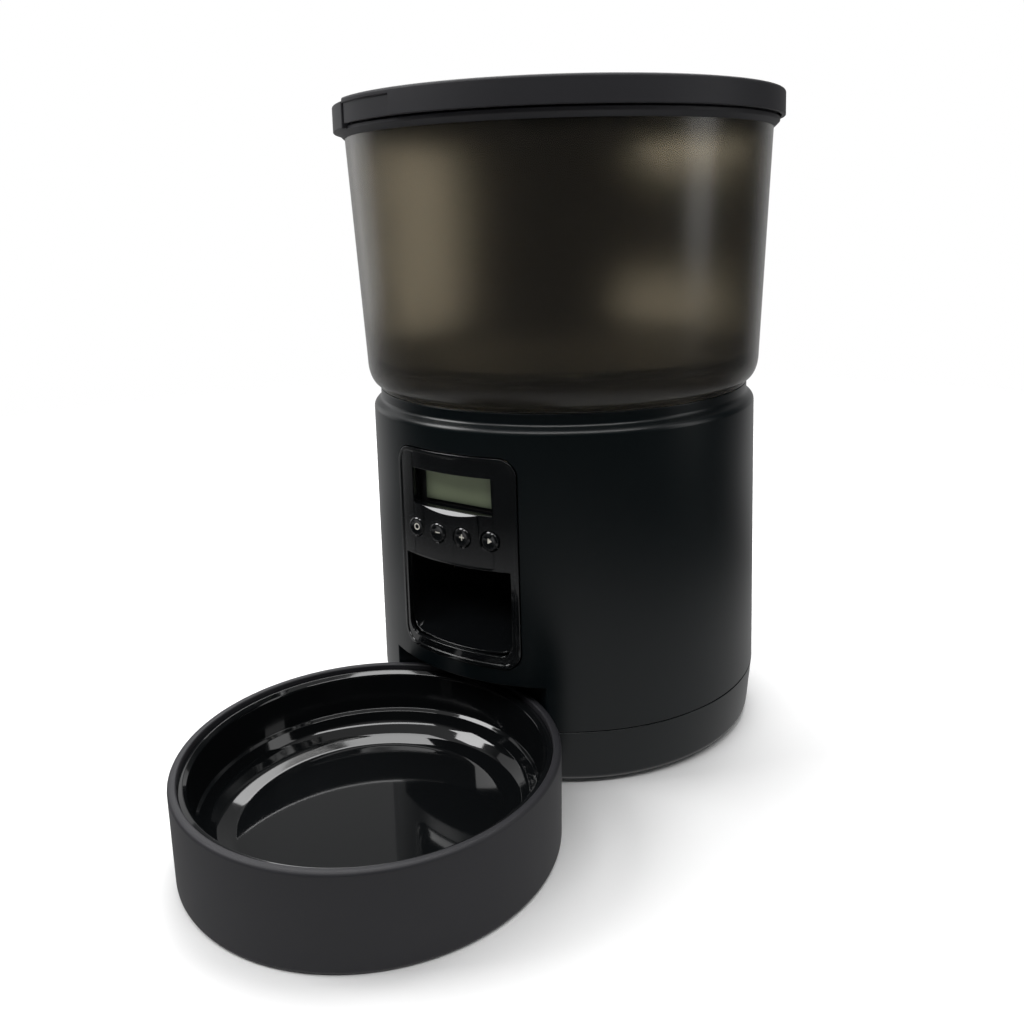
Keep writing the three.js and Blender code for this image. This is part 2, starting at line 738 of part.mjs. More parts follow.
// ---------- hopper ----------
function makeHopper() {
  const spigot = neckRadius - shellWall - 0.5;
  const under = funnelBottom + (spigot - hopperWall - funnelRadius) * 0.53;
  let hopper = turned([
    [spigot, seatHeight - spigotDrop],
    [spigot, seatHeight + gap],
    [neckRadius, seatHeight + gap],
    [neckRadius, neckTop],
    [hopperFootRadius - 1.6, neckTop + 5.4],
    [hopperFootRadius - 0.4, neckTop + 7.6],
    [hopperFootRadius, hopperFoot],
    [hopperTopRadius, beadBottom],
    [beadRadius, beadBottom + beadProud],
    [beadRadius, beadTop],
    [rimRadius, beadTop],
    [rimRadius, rimTop],
    [rimRadius - hopperWall, rimTop],
    [rimRadius - hopperWall, beadTop],
    [hopperTopRadius - hopperWall, beadBottom],
    [hopperFootRadius - hopperWall, hopperFoot],
    [funnelRadius, funnelBottom + hopperWall],
    [funnelRadius, funnelBottom],
    [spigot - hopperWall, under],
    [spigot - hopperWall, seatHeight - spigotDrop],
  ]);
  const lug = sector(rimRadius - 0.6, lidRadius - 0.1, lugFrom, lugTo, beadTop - 2, rimTop).add(
    sector(rimRadius + 0.6, lidRadius - 0.1, lugFrom, lugTo, beadTop, lidTop - 1.6),
  );
  hopper = hopper.add(lug);
  return part("hopper", hopper, smoke);
}

function makeBaffle() {
  const inner = hubRadius + sleeveWall + 2;
  const baffle = sector(
    inner,
    funnelRadius - 2 * gap,
    -baffleAngle,
    baffleAngle,
    funnelBottom,
    funnelBottom + baffleThickness,
  );
  return part("portion_baffle", baffle, innerBlack);
}

// ---------- lid ----------
function makeLid() {
  const plugOuter = rimRadius - hopperWall - gap - gasketWidth;
  let lid = turned([
    [0, lidUnder],
    [plugOuter - lidWall, lidUnder],
    [plugOuter - lidWall, beadTop + 1],
    [plugOuter, beadTop + 1],
    [plugOuter, lidUnder],
    [lidRadius - lidWall, lidUnder],
    [lidRadius - lidWall, lidFoot],
    [lidRadius, lidFoot],
    ...quarter(lidRadius - lidEdge, lidTop - lidEdge, lidEdge, 0, 90, 3),
    [plugOuter - 4, lidTop],
    [plugOuter - 5, lidTop - 0.6],
    [0, lidTop - 0.6],
  ]);
  const notch = sector(
    rimRadius + 0.3,
    lidRadius + 5,
    lugFrom - lugSpace,
    lugTo + lugSpace,
    lidFoot - 1,
    lidTop + 1,
  );
  const grip = sector(
    lidRadius - gripDepth,
    lidRadius + 5,
    lugTo,
    gripTo,
    lidFoot - 1,
    lidTop - gripBelowTop,
  );
  return part("lid", lid.subtract(notch).subtract(grip), matteBlack);
}

function makeGasket() {
  const inner = rimRadius - hopperWall - gap - gasketWidth + gap;
  const outer = inner + gasketWidth - gap;
  const bottom = beadTop + 2;
  const lipped = turned([
    [inner, bottom],
    [outer - 0.8, bottom],
    [outer, bottom + 1],
    [outer - 0.8, bottom + 2],
    [outer, bottom + 3],
    [outer - 0.8, bottom + gasketHeight],
    [inner, bottom + gasketHeight],
  ]);
  return part("lid_gasket", lipped, softGrey);
}

function makeDesiccant() {
  const top = lidUnder - gap;
  const bottom = top - desiccantDepth;
  const cup = turned(
    [
      [0, top],
      [desiccantRadius, top],
      [desiccantRadius, bottom],
      [desiccantRadius - desiccantWall, bottom],
      [desiccantRadius - desiccantWall, top - desiccantWall],
      [0, top - desiccantWall],
    ],
    32,
  );
  const ring = desiccantRadius - desiccantWall - gap;
  let cap = rod(desiccantRadius, bottom - gap - 2, bottom - gap, 0, 0, 32)
    .add(pipe(ring - 1.7, ring, bottom - gap - 1, bottom + 3, 32));
  for (let i = 0; i < 8; i++) {
    const slot = block(6, 17, -1, 1, bottom - 5, bottom + 1);
    cap = cap.subtract(slot.rotate([0, 0, 45 * i + 22.5]));
  }
  return [part("desiccant_box", cup, innerBlack), part("desiccant_cap", cap, innerBlack)];
}

// ---------- bowl ----------
function makeHolder() {
  const lipSeat = bowlRimHeight - 3;
  const inner = bowlRadius - holderWall;
  const cup = turned([
    [0, 0],
    [bowlRadius - 2.4, 0],
    [bowlRadius - 0.7, 1.6],
    ...quarter(bowlRadius - 1.6, bowlRimHeight - 1.6, 1.6, 0, 90, 3),
    [inner + 0.8, bowlRimHeight],
    [inner, bowlRimHeight - 0.8],
    [inner, lipSeat],
    [inner - holderLedge, lipSeat],
    [inner - holderLedge, holderFloor],
    [0, holderFloor],
  ]);
  const tongue = block(
    -tongueHalfWidth,
    tongueHalfWidth,
    bowlRadius - 6,
    bowlRadius + tongueReach,
    tongueHeight,
    tongueHeight + tongueThickness,
  ).subtract(rod(inner - holderLedge - 0.5, 0, bowlRimHeight, 0, 0, roundSides));
  return part("bowl_holder", cup.add(tongue), matteBlack);
}

function makeBowl() {
  const seat = bowlRimHeight - 3 + gap;
  const lip = bowlRadius - holderWall - gap;
  const wall = lip - holderLedge - 0.5;
  const floor = bowlFloorHeight;
  const bowl = turned([
    [0, floor - bowlWall],
    [bowlFloorRadius + 0.5, floor - bowlWall],
    [bowlFloorRadius + 7, floor + 2.6],
    [bowlFloorRadius + 10.6, floor + 9.6],
    [wall, seat - 5],
    [wall, seat],
    [lip, seat],
    [lip, seat + 1.4],
    [wall - 0.4, seat + 1.8],
    [wall - bowlWall, seat],
    [wall - bowlWall - 1.2, seat - 6],
    [bowlFloorRadius + 8.4, floor + 9.6],
    [bowlFloorRadius + 5, floor + 3.6],
    [bowlFloorRadius, floor],
    [0, floor],
  ]);
  return part("food_bowl", bowl, glossBlack);
}

// ---------- battery bay ----------
function makeBatteryBay() {
  const bottom = floorTop + gap;
  const top = floorTop + boxHeight;
  const box = block(-boxHalfWidth, boxHalfWidth, -boxHalfLength, boxHalfLength, bottom, top).subtract(
    block(
      -boxHalfWidth + boxWall,
      boxHalfWidth - boxWall,
      -boxHalfLength + boxWall,
      boxHalfLength - boxWall,
      bottom - 1,
      top - boxWall,
    ),
  );
  const reach = boxHalfWidth - boxWall - doorClearance;
  const length = boxHalfLength - boxWall - doorClearance;
  const lift = block(-9, 9, length - 6, length - 2, footHeight - 1, footHeight + 1);
  const doorFoot = footHeight + gap;
  const door = block(-reach, reach, -length, length, doorFoot, doorFoot + doorThickness).subtract(lift);
  const parts = [part("battery_box", box, innerBlack), part("battery_door", door, satinBlack)];
  const cellHeight = bottom + 1 + cellDiameter / 2;
  for (let i = 0; i < cellCount; i++) {
    const x = (i - (cellCount - 1) / 2) * cellDiameter;
    const end = boxHalfLength - boxWall - gap;
    const contact = part(`battery_spring_${i + 1}`, batterySpring(), steel);
    contact.position.set(x, end, cellHeight);
    const half = plateSize / 2;
    const plate = part(`battery_plate_${i + 1}`, block(-half, half, 0, plateThickness, -half, half), steel);
    plate.position.set(x, -end, cellHeight);
    parts.push(contact, plate);
  }
  for (const mesh of parts) mesh.position.y += boxCentre;
  return parts;
}

// A conical battery contact that coils forwards from y = 0.
function batterySpring() {
  const turns = 3;
  class Coil extends THREE.Curve {
    getPoint(t, target = new THREE.Vector3()) {
      const r = 6 - 2.5 * t;
      const a = 2 * Math.PI * turns * t;
      return target.set(r * Math.cos(a), -springWire - (springLength - 3) * t, r * Math.sin(a));
    }
  }
  const wire = new THREE.Shape().absarc(0, 0, springWire, 0, 2 * Math.PI, false);
  const options = { steps: turns * 8, curveSegments: 3, bevelEnabled: false, extrudePath: new Coil() };
  return solid(new THREE.ExtrudeGeometry(wire, options));
}

body.add(makeTub(), makeShell(), ...makeFeet(), ...makeScrews(), makeJack());
body.add(makePanel(), ...makeScreen(), makeBoard(), ...makeButtons());
body.add(makeChute(), makeDeck(), ...makeDrive(), ...makeMotor(), ...makeGearbox(), ...makeRotor());
body.add(makeHopper(), makeBaffle(), makeLid(), makeGasket(), ...makeDesiccant());
body.add(...makeBatteryBay());
dock.add(makeHolder(), makeBowl());

export default root;
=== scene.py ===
import json
import math

import bmesh
import bpy
from mathutils import Matrix, Vector


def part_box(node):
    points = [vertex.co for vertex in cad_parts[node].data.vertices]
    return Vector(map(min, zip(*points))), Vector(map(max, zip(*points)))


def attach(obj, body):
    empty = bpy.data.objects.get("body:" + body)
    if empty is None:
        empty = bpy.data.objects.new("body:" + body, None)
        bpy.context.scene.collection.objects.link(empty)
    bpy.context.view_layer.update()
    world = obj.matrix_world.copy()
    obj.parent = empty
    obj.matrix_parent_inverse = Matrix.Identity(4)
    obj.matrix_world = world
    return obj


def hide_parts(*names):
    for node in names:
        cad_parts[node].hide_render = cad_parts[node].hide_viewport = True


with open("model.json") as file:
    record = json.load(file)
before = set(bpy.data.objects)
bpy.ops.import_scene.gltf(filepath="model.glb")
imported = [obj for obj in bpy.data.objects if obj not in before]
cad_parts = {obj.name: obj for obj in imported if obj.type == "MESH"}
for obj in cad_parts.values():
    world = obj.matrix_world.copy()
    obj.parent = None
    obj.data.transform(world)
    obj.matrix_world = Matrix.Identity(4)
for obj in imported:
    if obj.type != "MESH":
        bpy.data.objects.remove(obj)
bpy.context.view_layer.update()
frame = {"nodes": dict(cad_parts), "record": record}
cadNodes = frame["nodes"]
mm = 0.001
print("frame loaded:", len(cadNodes), "nodes")

# where the CAD says things are, in millimetres


def cadBox(node):
    low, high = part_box(node)
    return low / mm, high / mm


def cadMiddle(node):
    low, high = cadBox(node)
    return (low + high) / 2


shellLow, shellHigh = cadBox("main_shell")
tubLow, tubHigh = cadBox("base_tub")
hopperLow = cadBox("hopper")[0]
lidLow, lidHigh = cadBox("lid")
holderLow, holderHigh = cadBox("bowl_holder")
foodLow, foodHigh = cadBox("food_bowl")
panelLow, panelHigh = cadBox("front_panel")
bodyRadius = (shellHigh.x - shellLow.x) / 2
bodyY = shellHigh.y - bodyRadius
bowlRadius = (holderHigh.x - holderLow.x) / 2
bowlY = holderLow.y + bowlRadius
bodyAxis, bowlAxis = (0, bodyY, 0), (0, bowlY, 0)
seam = tubHigh.z
hairGap = 0.3  # between parts that touch


# shapes


def corner(before, here, after, radius, steps):
    # points of the arc that rounds one corner
    toA, toB = (before - here), (after - here)
    a, b = toA.normalized(), toB.normalized()
    half = a.angle(b) / 2
    if half < 0.02 or half > math.pi / 2 - 0.02:
        return [here]
    reach = min(radius / math.tan(half), 0.49 * min(toA.length, toB.length))
    radius = reach * math.tan(half)
    middle = here + (a + b).normalized() * (radius / math.sin(half))
    start, end = here + a * reach - middle, here + b * reach - middle
    sweep = start.angle(end)
    points = []
    for i in range(steps + 1):
        t = i / steps
        points.append(middle + (start * math.sin((1 - t) * sweep) + end * math.sin(t * sweep)) / math.sin(sweep))
    return points


def rounded(points, steps=6):
    # each point is (across, up) or (across, up, corner radius)
    flat = [Vector(p[:2]) for p in points]
    made = []
    for i, p in enumerate(points):
        if len(p) > 2 and p[2] > 0:
            made += corner(flat[i - 1], flat[i], flat[(i + 1) % len(flat)], p[2], steps)
        else:
            made.append(flat[i])
    return made


def ellipseArc(x, z, across, up, start, end, steps=10):
    angles = [math.radians(start + (end - start) * i / steps) for i in range(steps + 1)]
    return [(x + across * math.cos(a), z + up * math.sin(a)) for a in angles]


def linked(name, data):
    made = bpy.data.objects.new(name, data)
    bpy.context.scene.collection.objects.link(made)
    return made


def asPiece(name, bm, shift=(0, 0, 0)):
    bmesh.ops.remove_doubles(bm, verts=bm.verts, dist=1e-4)
    bmesh.ops.recalc_face_normals(bm, faces=bm.faces)
    for v in bm.verts:
        v.co = (v.co + Vector(shift)) * mm
    mesh = bpy.data.meshes.new(name)
    bm.to_mesh(mesh)
    bm.free()
    return linked(name, mesh)


def turned(name, points, centre=(0, 0, 0), sides=192, axis="Z", steps=6):
    # a closed outline of (radius, height) turned about an axis
    ring = rounded(points, steps)
    bm = bmesh.new()
    rows = []
    for r, z in ring:
        if r < 1e-6:
            rows.append([bm.verts.new((0, 0, z))])
            continue
        turns = [2 * math.pi * i / sides for i in range(sides)]
        rows.append([bm.verts.new((r * math.cos(a), r * math.sin(a), z)) for a in turns])
    for low, high in zip(rows, rows[1:] + rows[:1]):
        if len(low) == 1 and len(high) == 1:
            continue
        for i in range(sides):
            j = (i + 1) % sides
            face = [low[i % len(low)], low[j % len(low)], high[j % len(high)], high[i % len(high)]]
            bm.faces.new(list(dict.fromkeys(face)))
    if axis == "Y":  # height runs towards +Y
        bmesh.ops.rotate(bm, verts=bm.verts, matrix=Matrix.Rotation(math.radians(-90), 3, "X"))
    return asPiece(name, bm, centre)


def rod(name, radius, low, high, centre, sides=192, axis="Z"):
    return turned(name, [(0, low), (radius, low), (radius, high), (0, high)], centre, sides, axis)


def prism(name, outline, low, high, plane="xz", shift=(0, 0, 0), asBm=False):
    order = {"xz": (0, 2, 1), "yz": (1, 2, 0), "xy": (0, 1, 2)}[plane]
    bm = bmesh.new()
    ends = []
    for depth in (low, high):
        verts = []
        for a, b in outline:
            co = [0, 0, 0]
            co[order[0]], co[order[1]], co[order[2]] = a, b, depth
            verts.append(bm.verts.new(co))
        ends.append(verts)
    bm.faces.new(ends[0])
    bm.faces.new(ends[1])
    count = len(outline)
    for i in range(count):
        j = (i + 1) % count
        bm.faces.new((ends[0][i], ends[0][j], ends[1][j], ends[1][i]))
    if asBm:
        bmesh.ops.recalc_face_normals(bm, faces=bm.faces)
        return bm
    return asPiece(name, bm, shift)


def brick(name, x, y, z):
    return prism(name, [(x[0], z[0]), (x[1], z[0]), (x[1], z[1]), (x[0], z[1])], y[0], y[1])


def roundRect(half, bottom, top, low, high=None, steps=8):
    high = low if high is None else high
    points = [(-half, bottom, low), (half, bottom, low), (half, top, high), (-half, top, high)]
    return rounded(points, steps)


def sector(name, inner, outer, start, end, bottom, top, shift, steps=28):
    # start and end in degrees round from the front
    angles = [math.radians(start + (end - start) * i / steps - 90) for i in range(steps + 1)]
    outline = [(outer * math.cos(a), outer * math.sin(a)) for a in angles]
    outline += [(inner * math.cos(a), inner * math.sin(a)) for a in reversed(angles)]
    return prism(name, outline, bottom, top, "xy", shift)


def applied(piece):
    # bakes the modifiers into the mesh
    mesh = bpy.data.meshes.new_from_object(piece.evaluated_get(bpy.context.evaluated_depsgraph_get()))
    piece.modifiers.clear()
    old = piece.data
    piece.data = mesh
    mesh.name = piece.name
    bpy.data.meshes.remove(old)
    return piece


def carve(piece, *tools, how="DIFFERENCE"):
    for tool in tools:
        cut = piece.modifiers.new("cut", "BOOLEAN")
        cut.object = tool
        cut.operation = how
        cut.solver = "EXACT"
    applied(piece)
    for tool in tools:
        bpy.data.objects.remove(tool)
    return piece


def join(piece, *others):
    return carve(piece, *others, how="UNION")


def softened(piece, width=0.4, angle=38, segments=3):
    edge = piece.modifiers.new("soft edges", "BEVEL")
    edge.width = width * mm
    edge.segments = segments
    edge.limit_method = "ANGLE"
    edge.angle_limit = math.radians(angle)
    edge.use_clamp_overlap = False
    return applied(piece)


def smooth(piece, angle=32):
    bm = bmesh.new()
    bm.from_mesh(piece.data)
    for face in bm.faces:
        face.smooth = True
    for edge in bm.edges:
        edge.smooth = len(edge.link_faces) == 2 and edge.calc_face_angle(0) < math.radians(angle)
    bm.to_mesh(piece.data)
    bm.free()
    return piece


def place(piece, body, slot, replaces=(), angle=32, finish=None):
    # gives a piece its finish (its slot's, unless one is named) and clean shading, ties it to its body, and hides
    # the CAD nodes it replaces
    piece.data.materials.clear()
    piece.data.materials.append(paint[finish or slotPaint[slot]])
    smooth(piece, angle)
    level = piece.modifiers.new("level faces", "WEIGHTED_NORMAL")
    level.keep_sharp = True
    applied(piece)
    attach(piece, body)
    if replaces:
        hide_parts(*replaces)
    return piece


# Geometry Nodes


def geometryTree(name, inputs):
    tree = bpy.data.node_groups.new(name, "GeometryNodeTree")
    for label, kind, value in inputs:
        socket = tree.interface.new_socket(name=label, in_out="INPUT", socket_type="NodeSocket" + kind)
        if value is not None:
            socket.default_value = value
    tree.interface.new_socket(name="Geometry", in_out="OUTPUT", socket_type="NodeSocketGeometry")
    return tree


def adder(tree):
    def add(kind, settings=None, **links):
        node = tree.nodes.new(kind)
        for key, value in (settings or {}).items():
            setattr(node, key, value)
        for key, value in links.items():
            socket = node.inputs[int(key[1:])] if key[0] == "i" and key[1:].isdigit() else node.inputs[key]
            if isinstance(value, bpy.types.NodeSocket):
                tree.links.new(value, socket)
            else:
                socket.default_value = value
        return node

    return add


def grown(name, tree, values, points=()):
    # runs a tree on a mesh of loose points and keeps the result as a plain mesh
    mesh = bpy.data.meshes.new(name)
    mesh.from_pydata([Vector(p) * mm for p in points], [], [])
    piece = linked(name, mesh)
    modifier = piece.modifiers.new(tree.name, "NODES")
    modifier.node_group = tree
    for item in tree.interface.items_tree:
        if item.item_type == "SOCKET" and item.in_out == "INPUT" and item.name in values:
            modifier[item.identifier] = values[item.name]
    return applied(piece)


def closeTree(tree, add, copies, given):
    solid = add("GeometryNodeRealizeInstances", Geometry=copies.outputs[0])
    done = add("GeometryNodeSetMaterial", Geometry=solid.outputs[0], Material=given["Finish"])
    add("NodeGroupOutput", Geometry=done.outputs[0])
    return tree


def makeCopyTree():
    # one shape at every point
    tree = geometryTree("copiesOnPoints", [
        ("Points", "Geometry", None), ("Shape", "Object", None), ("Finish", "Material", None)])
    add = adder(tree)
    given = add("NodeGroupInput").outputs
    shape = add("GeometryNodeObjectInfo", Object=given["Shape"])
    dots = add("GeometryNodeMeshToPoints", Mesh=given["Points"])
    copies = add("GeometryNodeInstanceOnPoints", Points=dots.outputs[0], Instance=shape.outputs["Geometry"])
    return closeTree(tree, add, copies, given)


def makeRingTree():
    # one shape repeated round the Z axis
    tree = geometryTree("copiesInRing", [
        ("Geometry", "Geometry", None), ("Shape", "Object", None), ("Count", "Int", 8),
        ("Middle", "Vector", None), ("First Turn", "Float", 0.0), ("Finish", "Material", None)])
    add = adder(tree)
    given = add("NodeGroupInput").outputs
    shape = add("GeometryNodeObjectInfo", Object=given["Shape"])
    dots = add("GeometryNodePoints", Count=given["Count"], Position=given["Middle"])
    index = add("GeometryNodeInputIndex")
    share = add("ShaderNodeMath", {"operation": "DIVIDE"}, i0=index.outputs[0], i1=given["Count"])
    turn = add("ShaderNodeMath", {"operation": "MULTIPLY_ADD"}, i0=share.outputs[0], i1=2 * math.pi,
               i2=given["First Turn"])
    spin = add("ShaderNodeCombineXYZ", Z=turn.outputs[0])
    copies = add("GeometryNodeInstanceOnPoints", Points=dots.outputs[0], Instance=shape.outputs["Geometry"],
                 Rotation=spin.outputs[0])
    return closeTree(tree, add, copies, given)


def makeRowTree():
    # one shape repeated in a straight row
    tree = geometryTree("copiesInRow", [
        ("Geometry", "Geometry", None), ("Shape", "Object", None), ("Count", "Int", 8),
        ("First", "Vector", None), ("Step", "Vector", None), ("Finish", "Material", None)])
    add = adder(tree)
    given = add("NodeGroupInput").outputs
    shape = add("GeometryNodeObjectInfo", Object=given["Shape"])
    line = add("GeometryNodeMeshLine", {"mode": "OFFSET"}, Count=given["Count"])
    tree.links.new(given["First"], line.inputs["Start Location"])
    tree.links.new(given["Step"], line.inputs["Offset"])
    copies = add("GeometryNodeInstanceOnPoints", Points=line.outputs[0], Instance=shape.outputs["Geometry"])
    return closeTree(tree, add, copies, given)


def makeCoilTree():
    # a conical wire coil at every point, coiling towards -Y
    tree = geometryTree("wireCoils", [
        ("Points", "Geometry", None), ("Turns", "Float", 4.0), ("Foot Radius", "Float", 0.006),
        ("Tip Radius", "Float", 0.0035), ("Length", "Float", 0.0036), ("Wire Radius", "Float", 0.00045),
        ("Finish", "Material", None)])
    add = adder(tree)
    given = add("NodeGroupInput").outputs
    spiral = add("GeometryNodeCurveSpiral", Resolution=28, Rotations=given["Turns"], Height=given["Length"])
    tree.links.new(given["Foot Radius"], spiral.inputs["Start Radius"])
    tree.links.new(given["Tip Radius"], spiral.inputs["End Radius"])
    section = add("GeometryNodeCurvePrimitiveCircle", Resolution=8, Radius=given["Wire Radius"])
    wire = add("GeometryNodeCurveToMesh", Curve=spiral.outputs[0])
    tree.links.new(section.outputs[0], wire.inputs["Profile Curve"])
    wire.inputs["Fill Caps"].default_value = True
    dots = add("GeometryNodeMeshToPoints", Mesh=given["Points"])
    copies = add("GeometryNodeInstanceOnPoints", Points=dots.outputs[0], Instance=wire.outputs[0],
                 Rotation=(math.radians(90), 0, 0))
    return closeTree(tree, add, copies, given)


copyTree, ringTree, rowTree, coilTree = makeCopyTree(), makeRingTree(), makeRowTree(), makeCoilTree()

# materials


def blankMaterial(name):
    material = bpy.data.materials.new(name)
    material.use_nodes = True
    tree = material.node_tree
    return material, tree, tree.nodes["Principled BSDF"], adder(tree)


def blended(add, share, first, second):
    node = add("ShaderNodeMix", {"data_type": "RGBA"}, i0=share)
    node.inputs[6].default_value, node.inputs[7].default_value = (*first, 1), (*second, 1)
    return node.outputs[2]


def plastic(name, look):
    # moulded plastic: faint mottling, uneven polish and a fine moulded grain
    material, tree, shader, add = blankMaterial(name)
    spot = add("ShaderNodeTexCoord").outputs["Object"]
    broad = add("ShaderNodeTexNoise", Vector=spot, Scale=look["patch"], Detail=3.0, Roughness=0.55)
    grain = add("ShaderNodeTexNoise", Vector=spot, Scale=look["grain"], Detail=2.0, Roughness=0.6)
    lighter = [c * look.get("shift", 1.25) for c in look["color"]]
    tree.links.new(blended(add, broad.outputs["Fac"], look["color"], lighter), shader.inputs["Base Color"])
    mix = add("ShaderNodeMath", {"operation": "MULTIPLY_ADD"}, i0=broad.outputs["Fac"], i1=0.6)
    half = add("ShaderNodeMath", {"operation": "MULTIPLY"}, i0=grain.outputs["Fac"], i1=0.4)
    tree.links.new(half.outputs[0], mix.inputs[2])
    polish = add("ShaderNodeMapRange", Value=mix.outputs[0])
    polish.inputs["From Min"].default_value, polish.inputs["From Max"].default_value = 0.3, 0.7
    polish.inputs["To Min"].default_value = look["roughness"] - look["spread"]
    polish.inputs["To Max"].default_value = look["roughness"] + look["spread"]
    tree.links.new(polish.outputs[0], shader.inputs["Roughness"])
    if look.get("depth", 0) > 0:
        bump = add("ShaderNodeBump", Height=grain.outputs["Fac"], Strength=look.get("strength", 0.35))
        bump.inputs["Distance"].default_value = look["depth"] * mm
        tree.links.new(bump.outputs[0], shader.inputs["Normal"])
    shader.inputs["IOR"].default_value = look.get("ior", 1.5)
    shader.inputs["Transmission Weight"].default_value = look.get("clear", 0.0)
    shader.inputs["Coat Weight"].default_value = look.get("coat", 0.0)
    shader.inputs["Coat Roughness"].default_value = 0.03
    shader.inputs["Metallic"].default_value = look.get("metal", 0.0)
    return material


finishes = {
    "satinBlack": {"color": (0.001, 0.0032, 0.0042), "roughness": 0.31, "spread": 0.03, "patch": 18, "grain": 3200,
                   "depth": 0.02},
    "matteBlack": {"color": (0.015, 0.0148, 0.018), "roughness": 0.56, "spread": 0.03, "patch": 22, "grain": 2600,
                   "depth": 0.035},
    "glossBlack": {"color": (0.0035, 0.004, 0.0045), "roughness": 0.07, "spread": 0.025, "patch": 30, "grain": 700,
                   "depth": 0.002, "coat": 0.4},
    "bowlBlack": {"color": (0.004, 0.0045, 0.005), "roughness": 0.06, "spread": 0.02, "patch": 24, "grain": 400,
                  "depth": 0.003, "coat": 0.3},
    "innerBlack": {"color": (0.012, 0.012, 0.0125), "roughness": 0.5, "spread": 0.05, "patch": 30, "grain": 1800,
                   "depth": 0.03},
    "nylon": {"color": (0.72, 0.69, 0.61), "roughness": 0.45, "spread": 0.05, "patch": 60, "grain": 1500,
              "depth": 0.02, "shift": 1.06},
    "softGrey": {"color": (0.16, 0.165, 0.17), "roughness": 0.7, "spread": 0.06, "patch": 40, "grain": 1600,
                 "depth": 0.04, "shift": 1.15},
    "rubber": {"color": (0.012, 0.012, 0.012), "roughness": 0.8, "spread": 0.06, "patch": 90, "grain": 2200,
               "depth": 0.06, "shift": 1.6},
    "steel": {"color": (0.56, 0.57, 0.58), "roughness": 0.28, "spread": 0.08, "patch": 120, "grain": 2500,
              "depth": 0.01, "shift": 1.1, "metal": 1.0},
    "smoke": {"color": (0.31, 0.285, 0.235), "roughness": 0.24, "spread": 0.02, "patch": 14, "grain": 1500,
              "depth": 0.008, "shift": 1.08, "clear": 0.97},
}
paint = {name: plastic(name, look) for name, look in finishes.items()}


def makeDisplayMaterial():
    # unlit liquid crystal glass, a little darker towards its edges
    look = {"middle": (0.17, 0.2, 0.125), "edge": (0.1, 0.12, 0.08)}
    material, tree, shader, add = blankMaterial("lcdGlass")
    low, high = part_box("lcd_screen")
    spot = add("ShaderNodeTexCoord").outputs["Object"]
    centred = add("ShaderNodeMapping", {"vector_type": "TEXTURE"}, Vector=spot)
    centred.inputs["Location"].default_value = (low + high) / 2
    centred.inputs["Scale"].default_value = [(b - a) / 2 for a, b in zip(low, high)]
    xyz = add("ShaderNodeSeparateXYZ", Vector=centred.outputs[0])
    away = []
    for label in "XZ":
        size = add("ShaderNodeMath", {"operation": "ABSOLUTE"}, i0=xyz.outputs[label])
        away.append(add("ShaderNodeMath", {"operation": "POWER"}, i0=size.outputs[0], i1=6.0))
    rim = add("ShaderNodeMath", {"operation": "ADD", "use_clamp": True}, i0=away[0].outputs[0],
              i1=away[1].outputs[0])
    weave = add("ShaderNodeTexNoise", Vector=spot, Scale=900.0, Detail=1.0)
    rough = add("ShaderNodeMapRange", Value=weave.outputs["Fac"])
    rough.inputs["To Min"].default_value, rough.inputs["To Max"].default_value = 0.16, 0.3
    tree.links.new(rough.outputs[0], shader.inputs["Roughness"])
    tree.links.new(blended(add, rim.outputs[0], look["middle"], look["edge"]), shader.inputs["Base Color"])
    shader.inputs["Coat Weight"].default_value = 0.5
    return material


def makeBoardMaterial():
    # solder resist over faint copper tracks
    material, tree, shader, add = blankMaterial("circuitBoard")
    spot = add("ShaderNodeTexCoord").outputs["Object"]
    turnedSpot = add("ShaderNodeMapping", Vector=spot)
    turnedSpot.inputs["Rotation"].default_value = (math.radians(90), 0, 0)
    tracks = add("ShaderNodeTexBrick", Vector=turnedSpot.outputs[0], Scale=180.0)
    tracks.inputs["Color1"].default_value = (0.01, 0.075, 0.03, 1)
    tracks.inputs["Color2"].default_value = (0.012, 0.09, 0.036, 1)
    tracks.inputs["Mortar"].default_value = (0.03, 0.16, 0.06, 1)
    tracks.inputs["Mortar Size"].default_value = 0.03
    tree.links.new(tracks.outputs["Color"], shader.inputs["Base Color"])
    shader.inputs["Roughness"].default_value = 0.35
    return material


paint["lcdGlass"] = makeDisplayMaterial()
paint["board"] = makeBoardMaterial()
slotPaint = {
    "satin_black": "satinBlack", "matte_black": "matteBlack", "gloss_black": "glossBlack",
    "inner_black": "innerBlack", "smoke": "smoke", "lcd_green": "lcdGlass", "board_green": "board",
    "nylon": "nylon", "soft_grey": "softGrey", "rubber": "rubber", "steel": "steel",
}
for row in frame["record"]["subparts"]:
    cadMesh = cadNodes[row["node"]].data
    cadMesh.materials.clear()
    cadMesh.materials.append(paint[slotPaint[row["material_slot"]]])
print("materials made:", len(paint))

panel = {  # also read by the shell, which makes room for the panel
    "corner": 8, "thickness": 2.4, "proud": 0.6, "rim": 1.7, "field": 0.12, "lens": 0.3, "lensHalf": 21.9,
    "lensTop": 145, "lensBottom": 98.2, "windowHalf": 21.6, "windowBottom": 121.6, "windowTop": 138, "ledge": 1.5,
    "ledgeDepth": 1.0, "tunnelWall": 1.4, "edge": 0.28, "columns": 64, "buttonHole": 4.6, "holeDepth": 22,
}

